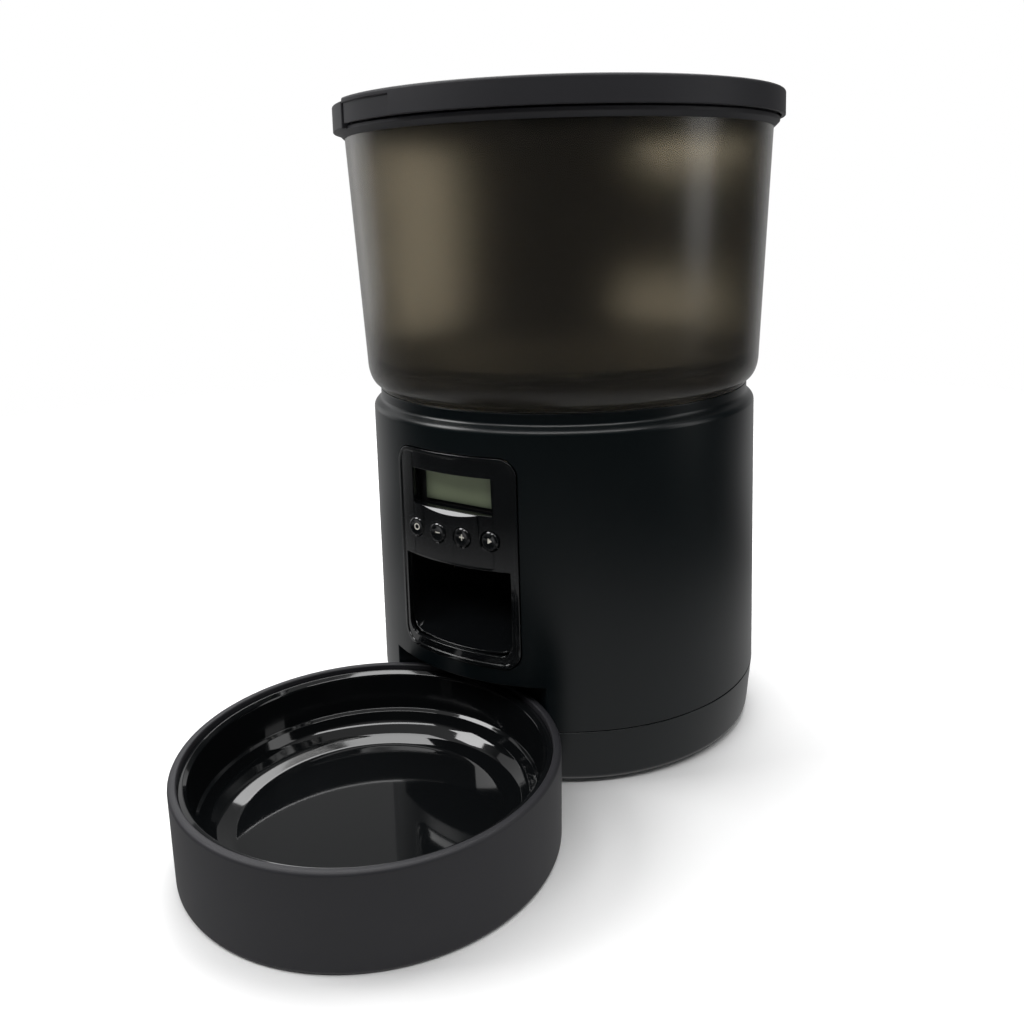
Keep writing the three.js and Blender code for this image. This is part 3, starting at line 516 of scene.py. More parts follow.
# base
base = {
    "wall": 2.6, "floor": 2.5, "taper": 2.6, "footEdge": 3.5, "edge": 0.45, "tubEdge": 0.35, "foot": (6.3, 0.8),
    "stepZ": 158.4, "stepRise": 2.6, "stepRound": 3.4, "cove": 2.2, "neckInset": 3.5, "screwWell": (3.6, 9),
    "recessPlay": 1, "recessTop": 46, "doorPlay": 0.8, "doorDepth": 4, "jackHole": 5.5, "jackDepth": 15,
    "slotHalf": 16.4, "slotReach": (11, 8), "slotZ": (8.6, 12.4),
}
below = -6  # where cutting tools start, clear under the floor


def recessTool(grow):
    return rod("recess", bowlRadius + base["recessPlay"] + grow, below, base["recessTop"] + grow, bowlAxis)


def makeShell():
    foot = seam + hairGap
    neck = bodyRadius - base["neckInset"]
    step, coveZ, wall = base["stepZ"], base["stepZ"] + base["stepRise"], base["wall"]
    outer = [(0, foot), (bodyRadius, foot, 0.5), (bodyRadius, step, base["stepRound"]),
             (neck, coveZ, base["cove"]), (neck, shellHigh.z, 0.4), (0, shellHigh.z)]
    inner = [(0, foot - 2), (bodyRadius - wall, foot - 2), (bodyRadius - wall, step - 1, 2),
             (neck - wall, coveZ - 1, 2), (neck - wall, shellHigh.z + 2), (0, shellHigh.z + 2)]
    hollow = carve(turned("hollow", inner, bodyAxis), recessTool(wall))
    shell = carve(turned("main_shell_skin", outer, bodyAxis), recessTool(0), hollow)
    half = panelHigh.x + hairGap
    outline = roundRect(half, panelLow.z - hairGap, panelHigh.z + hairGap, panel["corner"])
    opening = prism("opening", outline, -bodyRadius - 5, -bodyRadius / 2, "xz", bodyAxis)
    jackFoot = (0, shellHigh.y - base["jackDepth"], cadBox("dc_jack")[0].z + jack["flange"])
    hole = rod("hole", base["jackHole"], 0, base["jackDepth"] + 5, jackFoot, 48, "Y")
    shell = softened(carve(shell, opening, hole), base["edge"])
    return place(shell, "base", "satin_black", ["main_shell"])


def makeTub():
    wall, low = base["wall"], tubLow.z
    floor, floorTop = bodyRadius - base["taper"], low + base["floor"]
    outer = [(0, low), (floor, low, base["footEdge"]), (bodyRadius - 0.15, seam - 1), (bodyRadius, seam, 0.35),
             (0, seam)]
    inner = [(0, floorTop), (floor - wall, floorTop, 3), (bodyRadius - wall, seam + 2), (0, seam + 2)]
    hollow = carve(turned("hollow", inner, bodyAxis), recessTool(wall))
    tub = carve(turned("base_tub_skin", outer, bodyAxis), recessTool(0), hollow)
    doorLow, doorHigh = cadBox("battery_door")
    play, behind, ahead = base["doorPlay"], *base["slotReach"]
    slotY, half = bowlY + bowlRadius, base["slotHalf"]
    tools = [
        brick("doorway", (doorLow.x - play, doorHigh.x + play), (doorLow.y - play, doorHigh.y + play),
              (0, low + base["doorDepth"])),
        brick("slot", (-half, half), (slotY - behind, slotY + ahead), base["slotZ"]),
    ]
    for i in range(1, 5):
        foot, screw = cadMiddle(f"foot_{i}"), cadMiddle(f"base_screw_{i}")
        tools.append(rod("seat", base["foot"][0], 0, low + base["foot"][1], (foot.x, foot.y, 0), 48))
        tools.append(rod("well", base["screwWell"][0], 0, base["screwWell"][1], (screw.x, screw.y, 0), 32))
    tub = softened(carve(tub, *tools), base["tubEdge"])
    return place(tub, "base", "satin_black", ["base_tub"])


def makeFeetAndScrews():
    centres = {}
    for kind in ("foot", "base_screw"):
        names = [f"{kind}_{i}" for i in range(1, 5)]
        centres[kind] = [(*cadMiddle(name).xy, cadBox(name)[0].z) for name in names]
    pad = turned("pad", [(0, 0.5), (4, 0.5), (4.4, 0), (6, 0, 0.5), (6, 2.5), (0, 2.5)], sides=48)
    feet = grown("rubber_feet", copyTree, {"Shape": pad, "Finish": paint["rubber"]}, centres["foot"])
    bpy.data.objects.remove(pad)
    place(feet, "base", "rubber", [f"foot_{i}" for i in range(1, 5)])
    outline = [(0, 0.25), (2.4, 0, 0.5), (3.2, 0.8, 0.4), (3.2, 2), (1.5, 2), (1.5, 18), (0, 19)]
    screw = turned("screw", outline, sides=32)
    across = brick("cross", (-2, 2), (-0.4, 0.4), (-1, 1.1))
    along = brick("cross", (-0.4, 0.4), (-2, 2), (-1, 1.1))
    screw = softened(carve(screw, join(across, along)), 0.1, segments=2)
    screws = grown("base_screws", copyTree, {"Shape": screw, "Finish": paint["steel"]}, centres["base_screw"])
    bpy.data.objects.remove(screw)
    place(screws, "base", "steel", [f"base_screw_{i}" for i in range(1, 5)])


jack = {"bore": 2.75, "body": 4.9, "flange": 5.2, "depth": 8.5, "pin": 1}


def makeJack():
    middle, back = cadMiddle("dc_jack"), cadBox("dc_jack")[1].y
    spot = (middle.x, 0, middle.z)
    bore, body, flange, front = jack["bore"], jack["body"], jack["flange"], back - jack["depth"]
    ring = [(bore, front), (body, front), (body, back - 2), (flange, back - 1.6), (flange, back, 0.4),
            (bore + 0.2, back, 0.2), (bore, back - 0.4)]
    place(turned("dc_jack_ring", ring, spot, 64, "Y"), "base", "inner_black", ["dc_jack"])
    plate = body - 0.1
    pin = [(0, front - 0.5), (plate, front - 0.5), (plate, front - 0.1), (jack["pin"], front - 0.1),
           (jack["pin"], back - 1, 0.5), (0, back - 1)]
    place(turned("dc_jack_pin", pin, spot, 32, "Y"), "base", "steel")


makeShell()
makeTub()
makeFeetAndScrews()
makeJack()
print("base made")

# front panel
chute = {
    "half": 28.8, "wall": 0.8, "lip": 59, "lipFlat": 4, "lipCurve": 16, "head": 97.2, "headStep": 8,
    "boardStep": 10.5, "mouthCorner": 6, "rise": 41, "back": 22, "throat": 62, "trough": 6, "setback": 2.1,
}
buttons = {
    "radius": 4.3, "dish": 0.55, "dishShare": 0.72, "rimShare": 0.86, "collar": 1, "collarDepths": (2.6, 1.6),
    "stem": 1.5, "markSink": 0.86, "markThick": 0.06, "markDeep": 0.4, "ring": (1.1, 1.5), "bar": (1.3, 0.2),
}


def bendPlate(bm, columns, half):
    # cuts a flat plate into narrow columns, then bends it round the body
    for i in range(1, columns):
        x = -half + 2 * half * i / columns
        geom = bm.verts[:] + bm.edges[:] + bm.faces[:]
        bmesh.ops.bisect_plane(bm, geom=geom, plane_co=(x, 0, 0), plane_no=(1, 0, 0))
    for v in bm.verts:
        angle = math.asin(max(-1, min(1, v.co.x / bodyRadius)))
        reach = bodyRadius - v.co.y
        v.co.x, v.co.y = reach * math.sin(angle), -reach * math.cos(angle)


def bentPlate(name, outline, inward, outward, recess=None):
    # a plate on the body's face, from a depth inside it to a height outside it
    plate = prism(name, outline, -outward, inward, "xz")
    if recess:
        inset, level = recess
        carve(plate, prism("recess", inset, -outward - 3, -level, "xz"))
    bm = bmesh.new()
    bm.from_mesh(plate.data)
    for v in bm.verts:
        v.co /= mm
    bpy.data.objects.remove(plate)
    bendPlate(bm, panel["columns"], max(abs(x) for x, z in outline))
    return asPiece(name, bm, bodyAxis)


def chuteSide(w):
    # the chute's outline seen from the side: front is negative
    lipY = -bodyRadius - 0.4
    boardY = cadBox("control_board")[0].y - bodyY
    top = cadBox("feed_deck")[0].z - hairGap
    backZ = chute["lip"] + chute["rise"]
    extra = 0 if w else 1
    lip, head, back, throat = chute["lip"] - w, chute["head"] + w, -chute["back"] + w, -chute["throat"] - w
    return rounded([
        (lipY - 10, lip), (lipY + chute["lipFlat"], lip, chute["lipCurve"]), (back, backZ - w), (back, top + extra),
        (throat, top + extra), (throat, head + chute["headStep"]), (boardY + chute["boardStep"], head),
        (lipY - 10, head),
    ])


def chuteTool(w):
    bm = prism("chuteTool", chuteSide(w), -chute["half"] - w, chute["half"] + w, "yz", asBm=True)
    floorEdges = []
    for edge in bm.edges:
        a, b = edge.verts
        level = abs(a.co.x - b.co.x) < 1e-6 and abs(a.co.x) > 1
        low = max(a.co.z, b.co.z) < chute["lip"] + chute["rise"] + 0.01 - w and abs(a.co.y - b.co.y) > 0.2
        ceiling = min(a.co.z, b.co.z) > chute["head"] + w - 0.01
        if level and low and not ceiling:
            floorEdges.append(edge)
    bmesh.ops.bevel(bm, geom=floorEdges, offset=chute["trough"] + w, segments=8, profile=0.5,
                    affect="EDGES", clamp_overlap=False)
    return asPiece("chuteTool", bm, bodyAxis)


def makePanel():
    outline = roundRect(panelHigh.x, panelLow.z, panelHigh.z, panel["corner"])
    rim = panel["rim"]
    inset = roundRect(panelHigh.x - rim, panelLow.z + rim, panelHigh.z - rim, panel["corner"] - rim)
    inward = panel["thickness"] - panel["proud"]
    plate = bentPlate("front_panel_face", outline, inward, panel["proud"], (inset, panel["field"]))
    lensOutline = roundRect(panel["lensHalf"], panel["lensBottom"], panel["lensTop"], 0.8, 1.2)
    lens = bentPlate("lens", lensOutline, 1, panel["lens"])
    screenY = cadBox("lcd_screen")[0].y
    wall = panel["tunnelWall"]
    half, low, high = panel["windowHalf"], panel["windowBottom"], panel["windowTop"]
    tunnel = brick("tunnel", (-half - wall, half + wall), (bodyY - bodyRadius, screenY - hairGap),
                   (low - wall, high + wall))
    carve(tunnel, rod("trim", bodyRadius - 0.4, panelLow.z, panelHigh.z, bodyAxis), how="INTERSECT")
    plate = join(plate, lens, tunnel)
    front = bodyY - bodyRadius - 8
    tools = [brick("window", (-half, half), (front, screenY + 4), (low, high))]
    face = -bodyRadius - 3
    steep = panel["ledge"] / panel["ledgeDepth"]
    slope = [(face, low - steep * (panel["ledgeDepth"] + 3)), (-bodyRadius + panel["ledgeDepth"], low),
             (-bodyRadius + 5, low + 2), (face, low + 2)]
    tools.append(prism("ledge", slope, -half, half, "yz", bodyAxis))
    mouth = roundRect(chute["half"], chute["lip"] - 0.2, chute["head"], chute["mouthCorner"], 0.4)
    tools.append(prism("mouth", mouth, front, bodyY - 40, "xz"))
    for i in range(1, 5):
        middle = cadMiddle(f"button_{i}")
        spot = (middle.x, 0, middle.z)
        tools.append(rod("hole", panel["buttonHole"], front, front + panel["holeDepth"], spot, 64, "Y"))
    plate = softened(carve(plate, *tools), panel["edge"])
    return place(plate, "base", "gloss_black", ["front_panel"])


def makeScreen():
    sheets = [("lcd_screen", "lcd_glass", "lcd_green", 0.5, 0.2),
              ("lcd_frame", "lcd_holder", "inner_black", 1.5, 0.4)]
    for node, name, slot, curve, edge in sheets:
        low, high = cadBox(node)
        sheet = prism(name, roundRect((high.x - low.x) / 2, low.z, high.z, curve), low.y, high.y)
        place(softened(sheet, edge), "base", slot, [node])


def symbol(index, face):
    # generic marks: a ring, a bar, a cross and a triangle
    front, back = face - buttons["markThick"], face + buttons["markDeep"]
    if index == 0:
        inner, outer = buttons["ring"]
        return turned("mark", [(inner, front), (outer, front), (outer, back), (inner, back)], sides=32, axis="Y")
    if index == 3:
        return prism("mark", [(-0.9, -1.2), (1.3, 0), (-0.9, 1.2)], front, back)
    long, short = [(-v, v) for v in buttons["bar"]]
    bar = brick("mark", long, (front, back), short)
    if index == 1:
        return bar
    return join(bar, brick("mark", short, (front, back), long))


def makeButtons():
    b = buttons
    r, dish, flat, steps = b["radius"], b["dish"], b["radius"] * b["dishShare"], 8
    for i in range(1, 5):
        low, high = cadBox(f"button_{i}")
        middle = (low + high) / 2
        face, back = low.y, high.y
        collarFront, collarBack = (back - depth for depth in b["collarDepths"])
        outline = [(0, face + dish)]
        outline += [(flat * k / steps, face + dish * (1 - (k / steps) ** 2)) for k in range(1, steps)]
        outline += [(flat, face + 0.02, 0.3), (r * b["rimShare"], face, 0.3), (r, face + 0.5, 0.5),
                    (r, collarFront), (r + b["collar"], collarFront), (r + b["collar"], collarBack),
                    (b["stem"], collarBack), (b["stem"], back), (0, back)]
        cap = turned(f"button_cap_{i}", outline, (middle.x, 0, middle.z), 64, "Y")
        place(cap, f"button_{i}", "gloss_black", [f"button_{i}"])
        mark = symbol(i - 1, face + dish * b["markSink"])
        for v in mark.data.vertices:
            v.co += Vector((middle.x, 0, middle.z)) * mm
        mark.name = f"button_mark_{i}"
        place(mark, f"button_{i}", "nylon")


def makeChute():
    outer, inner = chuteTool(chute["wall"]), chuteTool(0)
    body = carve(outer, inner)
    trim = rod("trim", bodyRadius - chute["setback"], 40, 130, bodyAxis)
    body = softened(carve(body, trim, how="INTERSECT"), 0.15)
    body.name = "feed_chute"
    return place(body, "base", "gloss_black", ["chute"])


makePanel()
makeScreen()
makeButtons()
makeChute()
print("front made")

# hopper
hopper = {
    "wall": 2.2, "neck": 90.5, "neckRise": 2, "footRadius": 96.2, "footCurve": 8, "topRadius": 102, "rimTop": 296.7,
    "shoulder": 12, "beadProud": 2.8, "beadHeight": 4.2, "rimStand": 7.5, "rimInset": 1.4, "rimEdge": 0.8,
    "funnel": 60, "funnelSlope": 0.53, "spigotDrop": 7, "spigotPlay": 0.5,
}
lug = {
    "start": -59.5, "end": -29.5, "rimGap": 0.6, "outerInset": 0.1, "belowTop": 1.6, "belowBead": 1.6, "edge": 0.5,
}
seat = shellHigh.z
neckTop = seat + hopper["neckRise"]
rimTop = hopper["rimTop"]
beadTop = rimTop - hopper["rimStand"]
beadBottom = beadTop - hopper["beadHeight"]
beadRadius = hopper["topRadius"] + hopper["beadProud"]
rimRadius = beadRadius - hopper["rimInset"]


def makeHopper():
    h = hopper
    wall, neck, foot, top = h["wall"], h["neck"], h["footRadius"], h["topRadius"]
    spigot = neck - base["wall"] - h["spigotPlay"]
    spigotFoot = seat - h["spigotDrop"]
    rise = h["shoulder"]
    outside = [(spigot, spigotFoot, 0.4), (spigot, seat + hairGap), (neck, seat + hairGap, 0.4),
               (neck, neckTop - 0.1, 0.3)]
    outside += ellipseArc(neck, neckTop + rise, foot - neck, rise, -90, 0, 12) + [(top, beadBottom)]
    funnelFoot = hopperLow.z
    under = funnelFoot + (spigot - wall - h["funnel"]) * h["funnelSlope"]
    inside = [(top - wall, beadBottom), (foot - wall, neckTop + rise, h["footCurve"]),
              (h["funnel"], funnelFoot + wall, 0.5), (h["funnel"], funnelFoot, 0.5), (spigot - wall, under, 1),
              (spigot - wall, spigotFoot, 0.4)]
    tank = turned("hopper_tank", outside + inside, bodyAxis, 224)
    return place(tank, "hopper", "smoke", ["hopper"], 40)


def makeCollar():
    # an opaque ring round the hopper's mouth, with the lug that keys the lid
    wall, top, edge = hopper["wall"], hopper["topRadius"], hopper["rimEdge"]
    outline = [(top - wall, beadBottom, 0.2), (top + 0.6, beadBottom, 0.4), (beadRadius, beadBottom + 2.2, 0.9),
               (beadRadius, beadTop, 0.6), (rimRadius, beadTop), (rimRadius, rimTop, edge),
               (rimRadius - wall, rimTop, edge), (rimRadius - wall, beadTop)]
    ring = turned("hopper_collar", outline, bodyAxis, 224)
    outer = (lidHigh.x - lidLow.x) / 2 - lug["outerInset"]
    foot = beadTop - lug["belowBead"]
    lower = sector("lug", rimRadius - 0.5, outer, lug["start"], lug["end"], foot, rimTop - 1, bodyAxis)
    upper = sector("lug", rimRadius + lug["rimGap"], outer, lug["start"], lug["end"], foot + 1,
                   lidHigh.z - lug["belowTop"], bodyAxis)
    ring = softened(join(ring, lower, upper), lug["edge"], 50)
    return place(ring, "hopper", "matte_black")


makeHopper()
makeCollar()

# lid
lid = {
    "wall": 2, "plate": 2.2, "edge": 1.4, "notchPlay": 0.5, "gripEnd": -7.4, "gripDepth": 0.8, "gripBelowTop": 2.6,
    "gasket": 3.2, "gasketLip": 0.9, "dip": 0.6, "dipFrom": 4,
}


def makeLid():
    outer = (lidHigh.x - lidLow.x) / 2
    foot, top = lidLow.z, lidHigh.z
    under = top - lid["plate"]
    plug = rimRadius - hopper["wall"] - hairGap - lid["gasket"]
    wall, dip = lid["wall"], plug - lid["dipFrom"]
    outline = [(0, under), (plug - wall, under, 1), (plug - wall, beadTop + 1, 0.5), (plug, beadTop + 1, 0.5),
               (plug, under, 0.5), (outer - wall, under, 0.8), (outer - wall, foot, 0.3), (outer, foot, 0.45),
               (outer, top, lid["edge"]), (dip, top, 0.6), (dip - 1, top - lid["dip"], 0.6), (0, top - lid["dip"])]
    cover = turned("lid_cover", outline, bodyAxis, 224)
    play = lid["notchPlay"]
    notch = sector("notch", rimRadius + hairGap, outer + 5, lug["start"] - play, lug["end"] + play,
                   foot - 1, top + 1, bodyAxis)
    grip = sector("grip", outer - lid["gripDepth"], outer + 5, lug["end"], lid["gripEnd"], foot - 1,
                  top - lid["gripBelowTop"], bodyAxis)
    cover = softened(carve(cover, notch, grip), 0.3)
    return place(cover, "lid", "matte_black", ["lid"])


def makeGasket():
    inner = rimRadius - hopper["wall"] - lid["gasket"]
    outer = inner + lid["gasket"] - hairGap
    low = cadBox("lid_gasket")[0].z
    root = outer - lid["gasketLip"]
    lips = [(root if k % 2 == 0 else outer, low + k, 0.3) for k in range(5)]
    seal = turned("lid_seal", [(inner, low, 0.2), *lips, (inner, low + 4, 0.2)], bodyAxis, 160)
    return place(seal, "lid", "soft_grey", ["lid_gasket"], 50)


desiccant = {"wall": 1.6, "capPlate": 2, "skirt": 1.7, "slots": 8, "slotHalf": 5.5, "slotFrom": 11.5}


def makeDesiccant():
    low, high = cadBox("desiccant_box")
    r, wall = (high.x - low.x) / 2, desiccant["wall"]
    cup = [(0, high.z), (r, high.z, 0.8), (r, low.z, 0.4), (r - wall, low.z, 0.4), (r - wall, high.z - wall, 0.8),
           (0, high.z - wall)]
    place(turned("desiccant_cup", cup, bodyAxis, 96), "lid", "inner_black", ["desiccant_box"])
    low, high = cadBox("desiccant_cap")
    ring, plate = r - wall - hairGap, low.z + desiccant["capPlate"]
    skirt = ring - desiccant["skirt"]
    outline = [(0, low.z), (r, low.z, 0.8), (r, plate, 0.4), (ring, plate), (ring, high.z, 0.4),
               (skirt, high.z, 0.4), (skirt, plate), (0, plate)]
    cap = turned("desiccant_grille", outline, bodyAxis, 96)
    count = desiccant["slots"]
    blade = prism("blade", roundRect(desiccant["slotHalf"], -1, 1, 0.99, steps=6), -5, 5, "xy",
                  (desiccant["slotFrom"], 0, 0))
    values = {"Shape": blade, "Count": count, "Middle": Vector((0, bodyY, low.z)) * mm,
              "First Turn": math.pi / count, "Finish": paint["innerBlack"]}
    blades = grown("blades", ringTree, values)
    bpy.data.objects.remove(blade)
    place(softened(carve(cap, blades), 0.25), "desiccant_cap", "inner_black", ["desiccant_cap"])


makeLid()
makeGasket()
makeDesiccant()
print("hopper and lid made")

# bowl
bowl = {
    "holderWall": 3.4, "ledge": 1.8, "ledgeDrop": 3, "floor": 2.5, "rimEdge": 1.6, "footEdge": 2.2,
    "tongueHalf": 16, "tongueZ": (9, 12), "flangeFoot": 35.6, "floorTop": 8,
}


def makeHolder():
    b, r, top = bowl, bowlRadius, holderHigh.z
    inner = r - b["holderWall"]
    seatZ = top - b["ledgeDrop"]
    outline = [(0, 0), (r - 0.75, 0, b["footEdge"]), (r, top, b["rimEdge"]), (inner, top, 0.9), (inner, seatZ, 0.3),
               (inner - b["ledge"], seatZ, 0.4), (inner - b["ledge"], b["floor"], 2), (0, b["floor"])]
    ring = turned("bowl_stand", outline, bowlAxis, 224)
    reach = holderHigh.y - bowlY
    tongue = prism("tongue", roundRect(b["tongueHalf"], r - 6, reach, 0.1, 3), *b["tongueZ"], "xy", bowlAxis)
    ring = join(ring, carve(tongue, rod("core", inner - 2.4, -1, top, bowlAxis)))
    ring = softened(ring, 0.25, 50)
    return place(ring, "bowl_holder", "matte_black", ["bowl_holder"])


def makeFoodBowl():
    r = (foodHigh.x - foodLow.x) / 2
    top = foodHigh.z
    low = foodLow.z
    wall = r - bowl["ledge"] - 0.5
    foot, floor = bowl["flangeFoot"], bowl["floorTop"]
    under = [(0, low), (58, low, 9), (66.5, low + 4.6, 9), (70.4, 16.5, 6), (wall, 24, 4), (wall, foot), (r, foot)]
    lip = [(r, top - 1.3, 0.3), (wall + 0.4, top - 0.9, 0.4), (wall - 1.2, top - 2.6, 1.6)]
    inside = [(68.9, 19.2, 1), (67.5, 18, 1), (65, 13.6, 8), (60.8, 10.2, 8), (55, floor, 9), (0, floor)]
    dish = turned("food_dish", under + lip + inside, bowlAxis, 224, steps=8)
    return place(dish, "food_bowl", "gloss_black", ["food_bowl"], 45, "bowlBlack")


makeHolder()
makeFoodBowl()
print("bowl made")

# feed deck, rotor and battery bay
deck = {
    "plate": 3, "chamber": 62, "chamberOutside": 64.2, "outlet": (22, 59, -28, 28), "shaftHole": 4.25,
    "boardHalf": 34.3, "boardGap": 4,
}


def makeDeck():
    low, high = cadBox("feed_deck")
    r = (high.x - low.x) / 2
    plate, inner, outer = low.z + deck["plate"], deck["chamber"], deck["chamberOutside"]
    outline = [(0, low.z), (r, low.z, 0.5), (r, plate, 0.5), (outer, plate, 1), (outer, high.z, 0.6),
               (inner, high.z, 0.6), (inner, plate, 1), (0, plate)]
    moulding = turned("feed_deck_moulding", outline, bodyAxis)
    ends = (low.z - 1, plate + 1)
    boardBack = cadBox("control_board")[0].y + deck["boardGap"]
    outlet = sector("outlet", *deck["outlet"], *ends, bodyAxis)
    hole = rod("hole", deck["shaftHole"], *ends, bodyAxis, 32)
    notch = brick("notch", (-deck["boardHalf"], deck["boardHalf"]), (bodyY - bodyRadius, boardBack), ends)
    place(softened(carve(moulding, outlet, hole, notch), 0.4), "base", "inner_black", ["feed_deck"])


rotor = {"finCount": 6, "finThickness": 2.4, "finEdge": 0.8, "hub": 14, "hubCurve": 4, "sleeve": 16, "play": 0.2}


def makeRotor():
    low, high = cadBox("rotor_hub")
    hub, sleeve, inner = rotor["hub"], rotor["sleeve"], rotor["hub"] + rotor["play"]
    outline = [(0, low.z), (hub, low.z, 0.5), (hub, high.z - 5, rotor["hubCurve"]), (5, high.z - 2.4, 2),
               (0, high.z)]
    place(turned("rotor_cone", outline, bodyAxis, 96), "rotor", "nylon", ["rotor_hub"])
    low, high = cadBox("rotor_fins")
    reach = (high.y - low.y) / 2
    half = rotor["finThickness"] / 2
    fin = brick("fin", (sleeve - 1, reach), (-half, half), (0, high.z - low.z))
    fin = softened(fin, rotor["finEdge"], segments=4)
    values = {"Shape": fin, "Count": rotor["finCount"], "Middle": Vector((0, bodyY, low.z)) * mm,
              "First Turn": math.radians(90), "Finish": paint["softGrey"]}
    fins = grown("rotor_paddles", ringTree, values)
    bpy.data.objects.remove(fin)
    outline = [(inner, low.z), (sleeve, low.z, 0.5), (sleeve, high.z, 0.6), (inner, high.z)]
    fins = join(fins, turned("sleeve", outline, bodyAxis, 96))
    place(fins, "rotor", "soft_grey", ["rotor_fins"])


baffle = {"inner": 18, "outer": 59.4, "halfTurn": 40}


def makeBaffle():
    low, high = cadBox("portion_baffle")
    turn = baffle["halfTurn"]
    plate = sector("portion_shield", baffle["inner"], baffle["outer"], -turn, turn, low.z, high.z, bodyAxis)
    place(softened(plate, 0.5), "hopper", "inner_black", ["portion_baffle"])


battery = {"corner": 2, "ribs": 12, "ribStep": 3, "ribHalf": (0.5, 7), "pullHalf": (9, 2), "pullEdge": 1.9}


def makeBatteryBay():
    low, high = cadBox("battery_door")
    middle = cadMiddle("battery_door")
    half = (high - low) / 2
    outline = roundRect(half.x, -half.y, half.y, battery["corner"], steps=6)
    door = prism("battery_cover", outline, low.z, high.z, "xy", (middle.x, middle.y, 0))
    pullX, pullY = battery["pullHalf"]
    outline = roundRect(pullX, -pullY, pullY, battery["pullEdge"], steps=6)
    pull = prism("pull", outline, low.z - 1, low.z + 0.8, "xy", (middle.x, high.y - 4, 0))
    ribX, ribY = battery["ribHalf"]
    rib = brick("rib", (-ribX, ribX), (-ribY, ribY), (-1, 0.5))
    start = middle.x - battery["ribStep"] * (battery["ribs"] - 1) / 2
    values = {"Shape": rib, "Count": battery["ribs"], "First": Vector((start, high.y - 16, low.z)) * mm,
              "Step": Vector((battery["ribStep"], 0, 0)) * mm, "Finish": paint["satinBlack"]}
    ribs = grown("ribs", rowTree, values)
    bpy.data.objects.remove(rib)
    door = softened(carve(door, pull, ribs), 0.25, segments=2)
    place(door, "battery_door", "satin_black", ["battery_door"])
    names = [f"battery_spring_{i}" for i in range(1, 4)]
    ends = []
    for name in names:
        middle = cadMiddle(name)
        ends.append((middle.x, cadBox(name)[1].y - 0.6, middle.z))
    coils = grown("battery_coils", coilTree, {"Finish": paint["steel"]}, ends)
    place(coils, "base", "steel", names, 60)


makeDeck()
makeRotor()
makeBaffle()
makeBatteryBay()
print("inside made")

# stage
stage = {
    # levels of the room, and where each melts into the next
    "front": 0.012, "wall": 0.62, "high": 0.36, "ceiling": 0.5, "smoky": 0.006, "frontToWall": (0.4, 0.92),
    "wallToHigh": (0.1, 0.24), "highToCeiling": (0.55, 0.8),
    "floorSize": 5, "floor": 0.96, "floorFade": (0.4, 1.1), "mirrorDim": 0.03, "mirrorPale": 0.42,
    "mirrorNear": (0.2, 0.42), "mirrorBehind": (0.0, 0.4),
    "cameraSpot": (0.2671, -0.4204, 0.2512), "cameraAim": (-0.5691, 0.8084, -0.1503),
    "cameraX": (0.8198, 0.5720, -0.0271), "lens": 35.21, "shift": (-0.0027, -0.1488),
}
lights = [
    # name, place, what it faces, width, height, watts
    ("top", (-0.25, 0.45, 1.2), (0, 0.05, 0), 1.2, 1.2, 21),
    ("frontTop", (0.43, -0.6, 1.2), (0, 0, 0.16), 1.8, 0.22, 8),
    ("frontLeft", (-0.8, -0.6, 0.95), (0, 0, 0.12), 0.5, 0.5, 6.5),
    ("left", (-1.25, 0.12, 0.45), (0, 0, 0.12), 0.7, 0.9, 1.1),
    ("right", (1.25, 0.45, 0.5), (0, 0, 0.12), 0.4, 1.0, 2),
    ("patchLeft", (-0.235, 0.2, 0.24), (0, 0.06, 0.235), 0.085, 0.17, 0.117),
    ("patchRightHigh", (-0.03, 0.285, 0.3), (0, 0.06, 0.275), 0.07, 0.035, 0.045),
    ("patchRightLow", (-0.04, 0.285, 0.182), (0, 0.06, 0.19), 0.09, 0.035, 0.019),
]


aim = Vector((*stage["cameraAim"][:2], 0)).normalized()  # level line from the camera to the object


def makeCamera():
    data = bpy.data.cameras.new("camera")
    camera = linked("camera", data)
    data.sensor_width = 36
    data.lens = stage["lens"]
    data.shift_x, data.shift_y = stage["shift"]
    data.clip_start = 0.01
    back = -Vector(stage["cameraAim"]).normalized()
    right = Vector(stage["cameraX"])
    right = (right - back * right.dot(back)).normalized()
    up = back.cross(right)
    turn = Matrix((right, up, back)).transposed().to_4x4()
    camera.matrix_world = Matrix.Translation(Vector(stage["cameraSpot"]) + Vector((0, bodyY * mm, 0))) @ turn
    bpy.context.scene.camera = camera


def makeLights():
    for name, spot, target, width, height, watts in lights:
        data = bpy.data.lights.new(name, "AREA")
        data.shape = "RECTANGLE"
        data.size, data.size_y = width, height
        data.energy = watts
        lamp = linked(name, data)
        lamp.location = spot
        lamp.rotation_euler = (Vector(target) - Vector(spot)).to_track_quat("-Z", "Y").to_euler()
        lamp.visible_camera = False
        lamp.visible_glossy = not name.startswith("patch")


def ramp(add, value, start, end, low=0.0, high=1.0):
    node = add("ShaderNodeMapRange", {"interpolation_type": "SMOOTHSTEP"}, Value=value)
    for label, number in (("From Min", start), ("From Max", end), ("To Min", low), ("To Max", high)):
        if isinstance(number, bpy.types.NodeSocket):
            node.id_data.links.new(number, node.inputs[label])
        else:
            node.inputs[label].default_value = number
    return node.outputs[0]


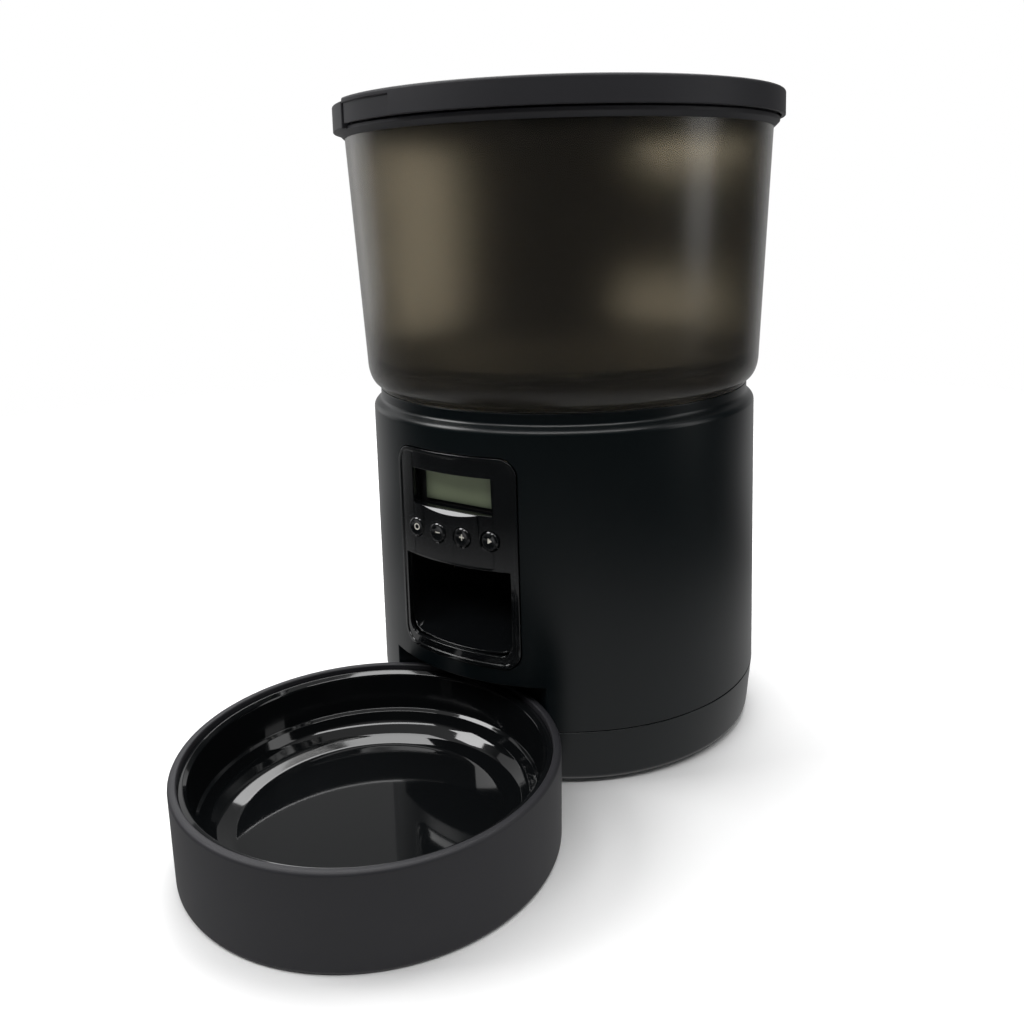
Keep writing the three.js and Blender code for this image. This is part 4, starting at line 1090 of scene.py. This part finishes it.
def makeWorld():
    # white to the camera; light and reflections get a pale wall behind, a ceiling and a dim room in front
    world = bpy.data.worlds.new("studio")
    bpy.context.scene.world = world
    world.use_nodes = True
    tree = world.node_tree
    tree.nodes.clear()
    add = adder(tree)
    seen = add("ShaderNodeBackground", Strength=1.0)
    seen.inputs["Color"].default_value = (1, 1, 1, 1)
    way = add("ShaderNodeTexCoord").outputs["Generated"]
    facing = add("ShaderNodeVectorMath", {"operation": "DOT_PRODUCT"}, i0=way, i1=aim).outputs["Value"]
    height = add("ShaderNodeSeparateXYZ", Vector=way).outputs["Z"]
    wall = ramp(add, height, *stage["wallToHigh"], stage["wall"], stage["high"])
    level = ramp(add, facing, *stage["frontToWall"], stage["front"], wall)
    level = ramp(add, height, *stage["highToCeiling"], level, stage["ceiling"])
    room = add("ShaderNodeBackground", Strength=level)
    path = add("ShaderNodeLightPath")
    behind = add("ShaderNodeBackground", Strength=stage["smoky"])
    inside = add("ShaderNodeMixShader", i0=path.outputs["Is Transmission Ray"], i1=room.outputs[0],
                 i2=behind.outputs[0])
    mix = add("ShaderNodeMixShader", i0=path.outputs["Is Camera Ray"], i1=inside.outputs[0], i2=seen.outputs[0])
    add("ShaderNodeOutputWorld", Surface=mix.outputs[0])


def makeFloor():
    # a pale floor that melts into the white behind it; to reflection rays it glows as a painted reflection instead
    # of showing its lit colour, pale near the object and behind it, dim further off in front, and nearly black to
    # rays through the hopper
    bm = bmesh.new()
    bmesh.ops.create_grid(bm, x_segments=1, y_segments=1, size=stage["floorSize"] / mm / 2)
    floor = asPiece("floor", bm, (0, 0, -0.02))
    material, tree, shader, add = blankMaterial("paleFloor")
    shader.inputs["Base Color"].default_value = (stage["floor"],) * 3 + (1,)
    shader.inputs["Roughness"].default_value = 0.9
    shader.inputs["Specular IOR Level"].default_value = 0.0
    path = add("ShaderNodeLightPath")
    spot = add("ShaderNodeTexCoord").outputs["Object"]
    away = add("ShaderNodeVectorMath", {"operation": "LENGTH"}, i0=spot).outputs["Value"]
    along = add("ShaderNodeVectorMath", {"operation": "DOT_PRODUCT"}, i0=spot, i1=aim).outputs["Value"]
    # painted reflection level of the floor: pale close to the object, dim further off, pale again behind it
    near = ramp(add, away, *stage["mirrorNear"], stage["mirrorPale"], stage["mirrorDim"])
    level = ramp(add, along, *stage["mirrorBehind"], near, stage["mirrorPale"])
    unseen = add("ShaderNodeMath", {"operation": "MAXIMUM"}, i0=path.outputs["Is Glossy Ray"],
                 i1=path.outputs["Is Transmission Ray"])
    # rays through the hopper see a painted, nearly black floor
    smoky = add("ShaderNodeMix", {"data_type": "FLOAT"}, i0=path.outputs["Is Transmission Ray"], i2=level,
                i3=stage["smoky"])
    glow = add("ShaderNodeEmission", Strength=smoky.outputs[0])
    mirrored = add("ShaderNodeMixShader", i0=unseen.outputs[0], i1=shader.outputs[0], i2=glow.outputs[0])
    fade = ramp(add, away, *stage["floorFade"])
    clear = add("ShaderNodeBsdfTransparent")
    mix = add("ShaderNodeMixShader", i0=fade, i1=mirrored.outputs[0], i2=clear.outputs[0])
    tree.links.new(mix.outputs[0], tree.nodes["Material Output"].inputs["Surface"])
    floor.data.materials.append(material)


makeCamera()
makeLights()
makeWorld()
makeFloor()
bpy.context.scene.view_settings.view_transform = "Standard"
print("stage made")
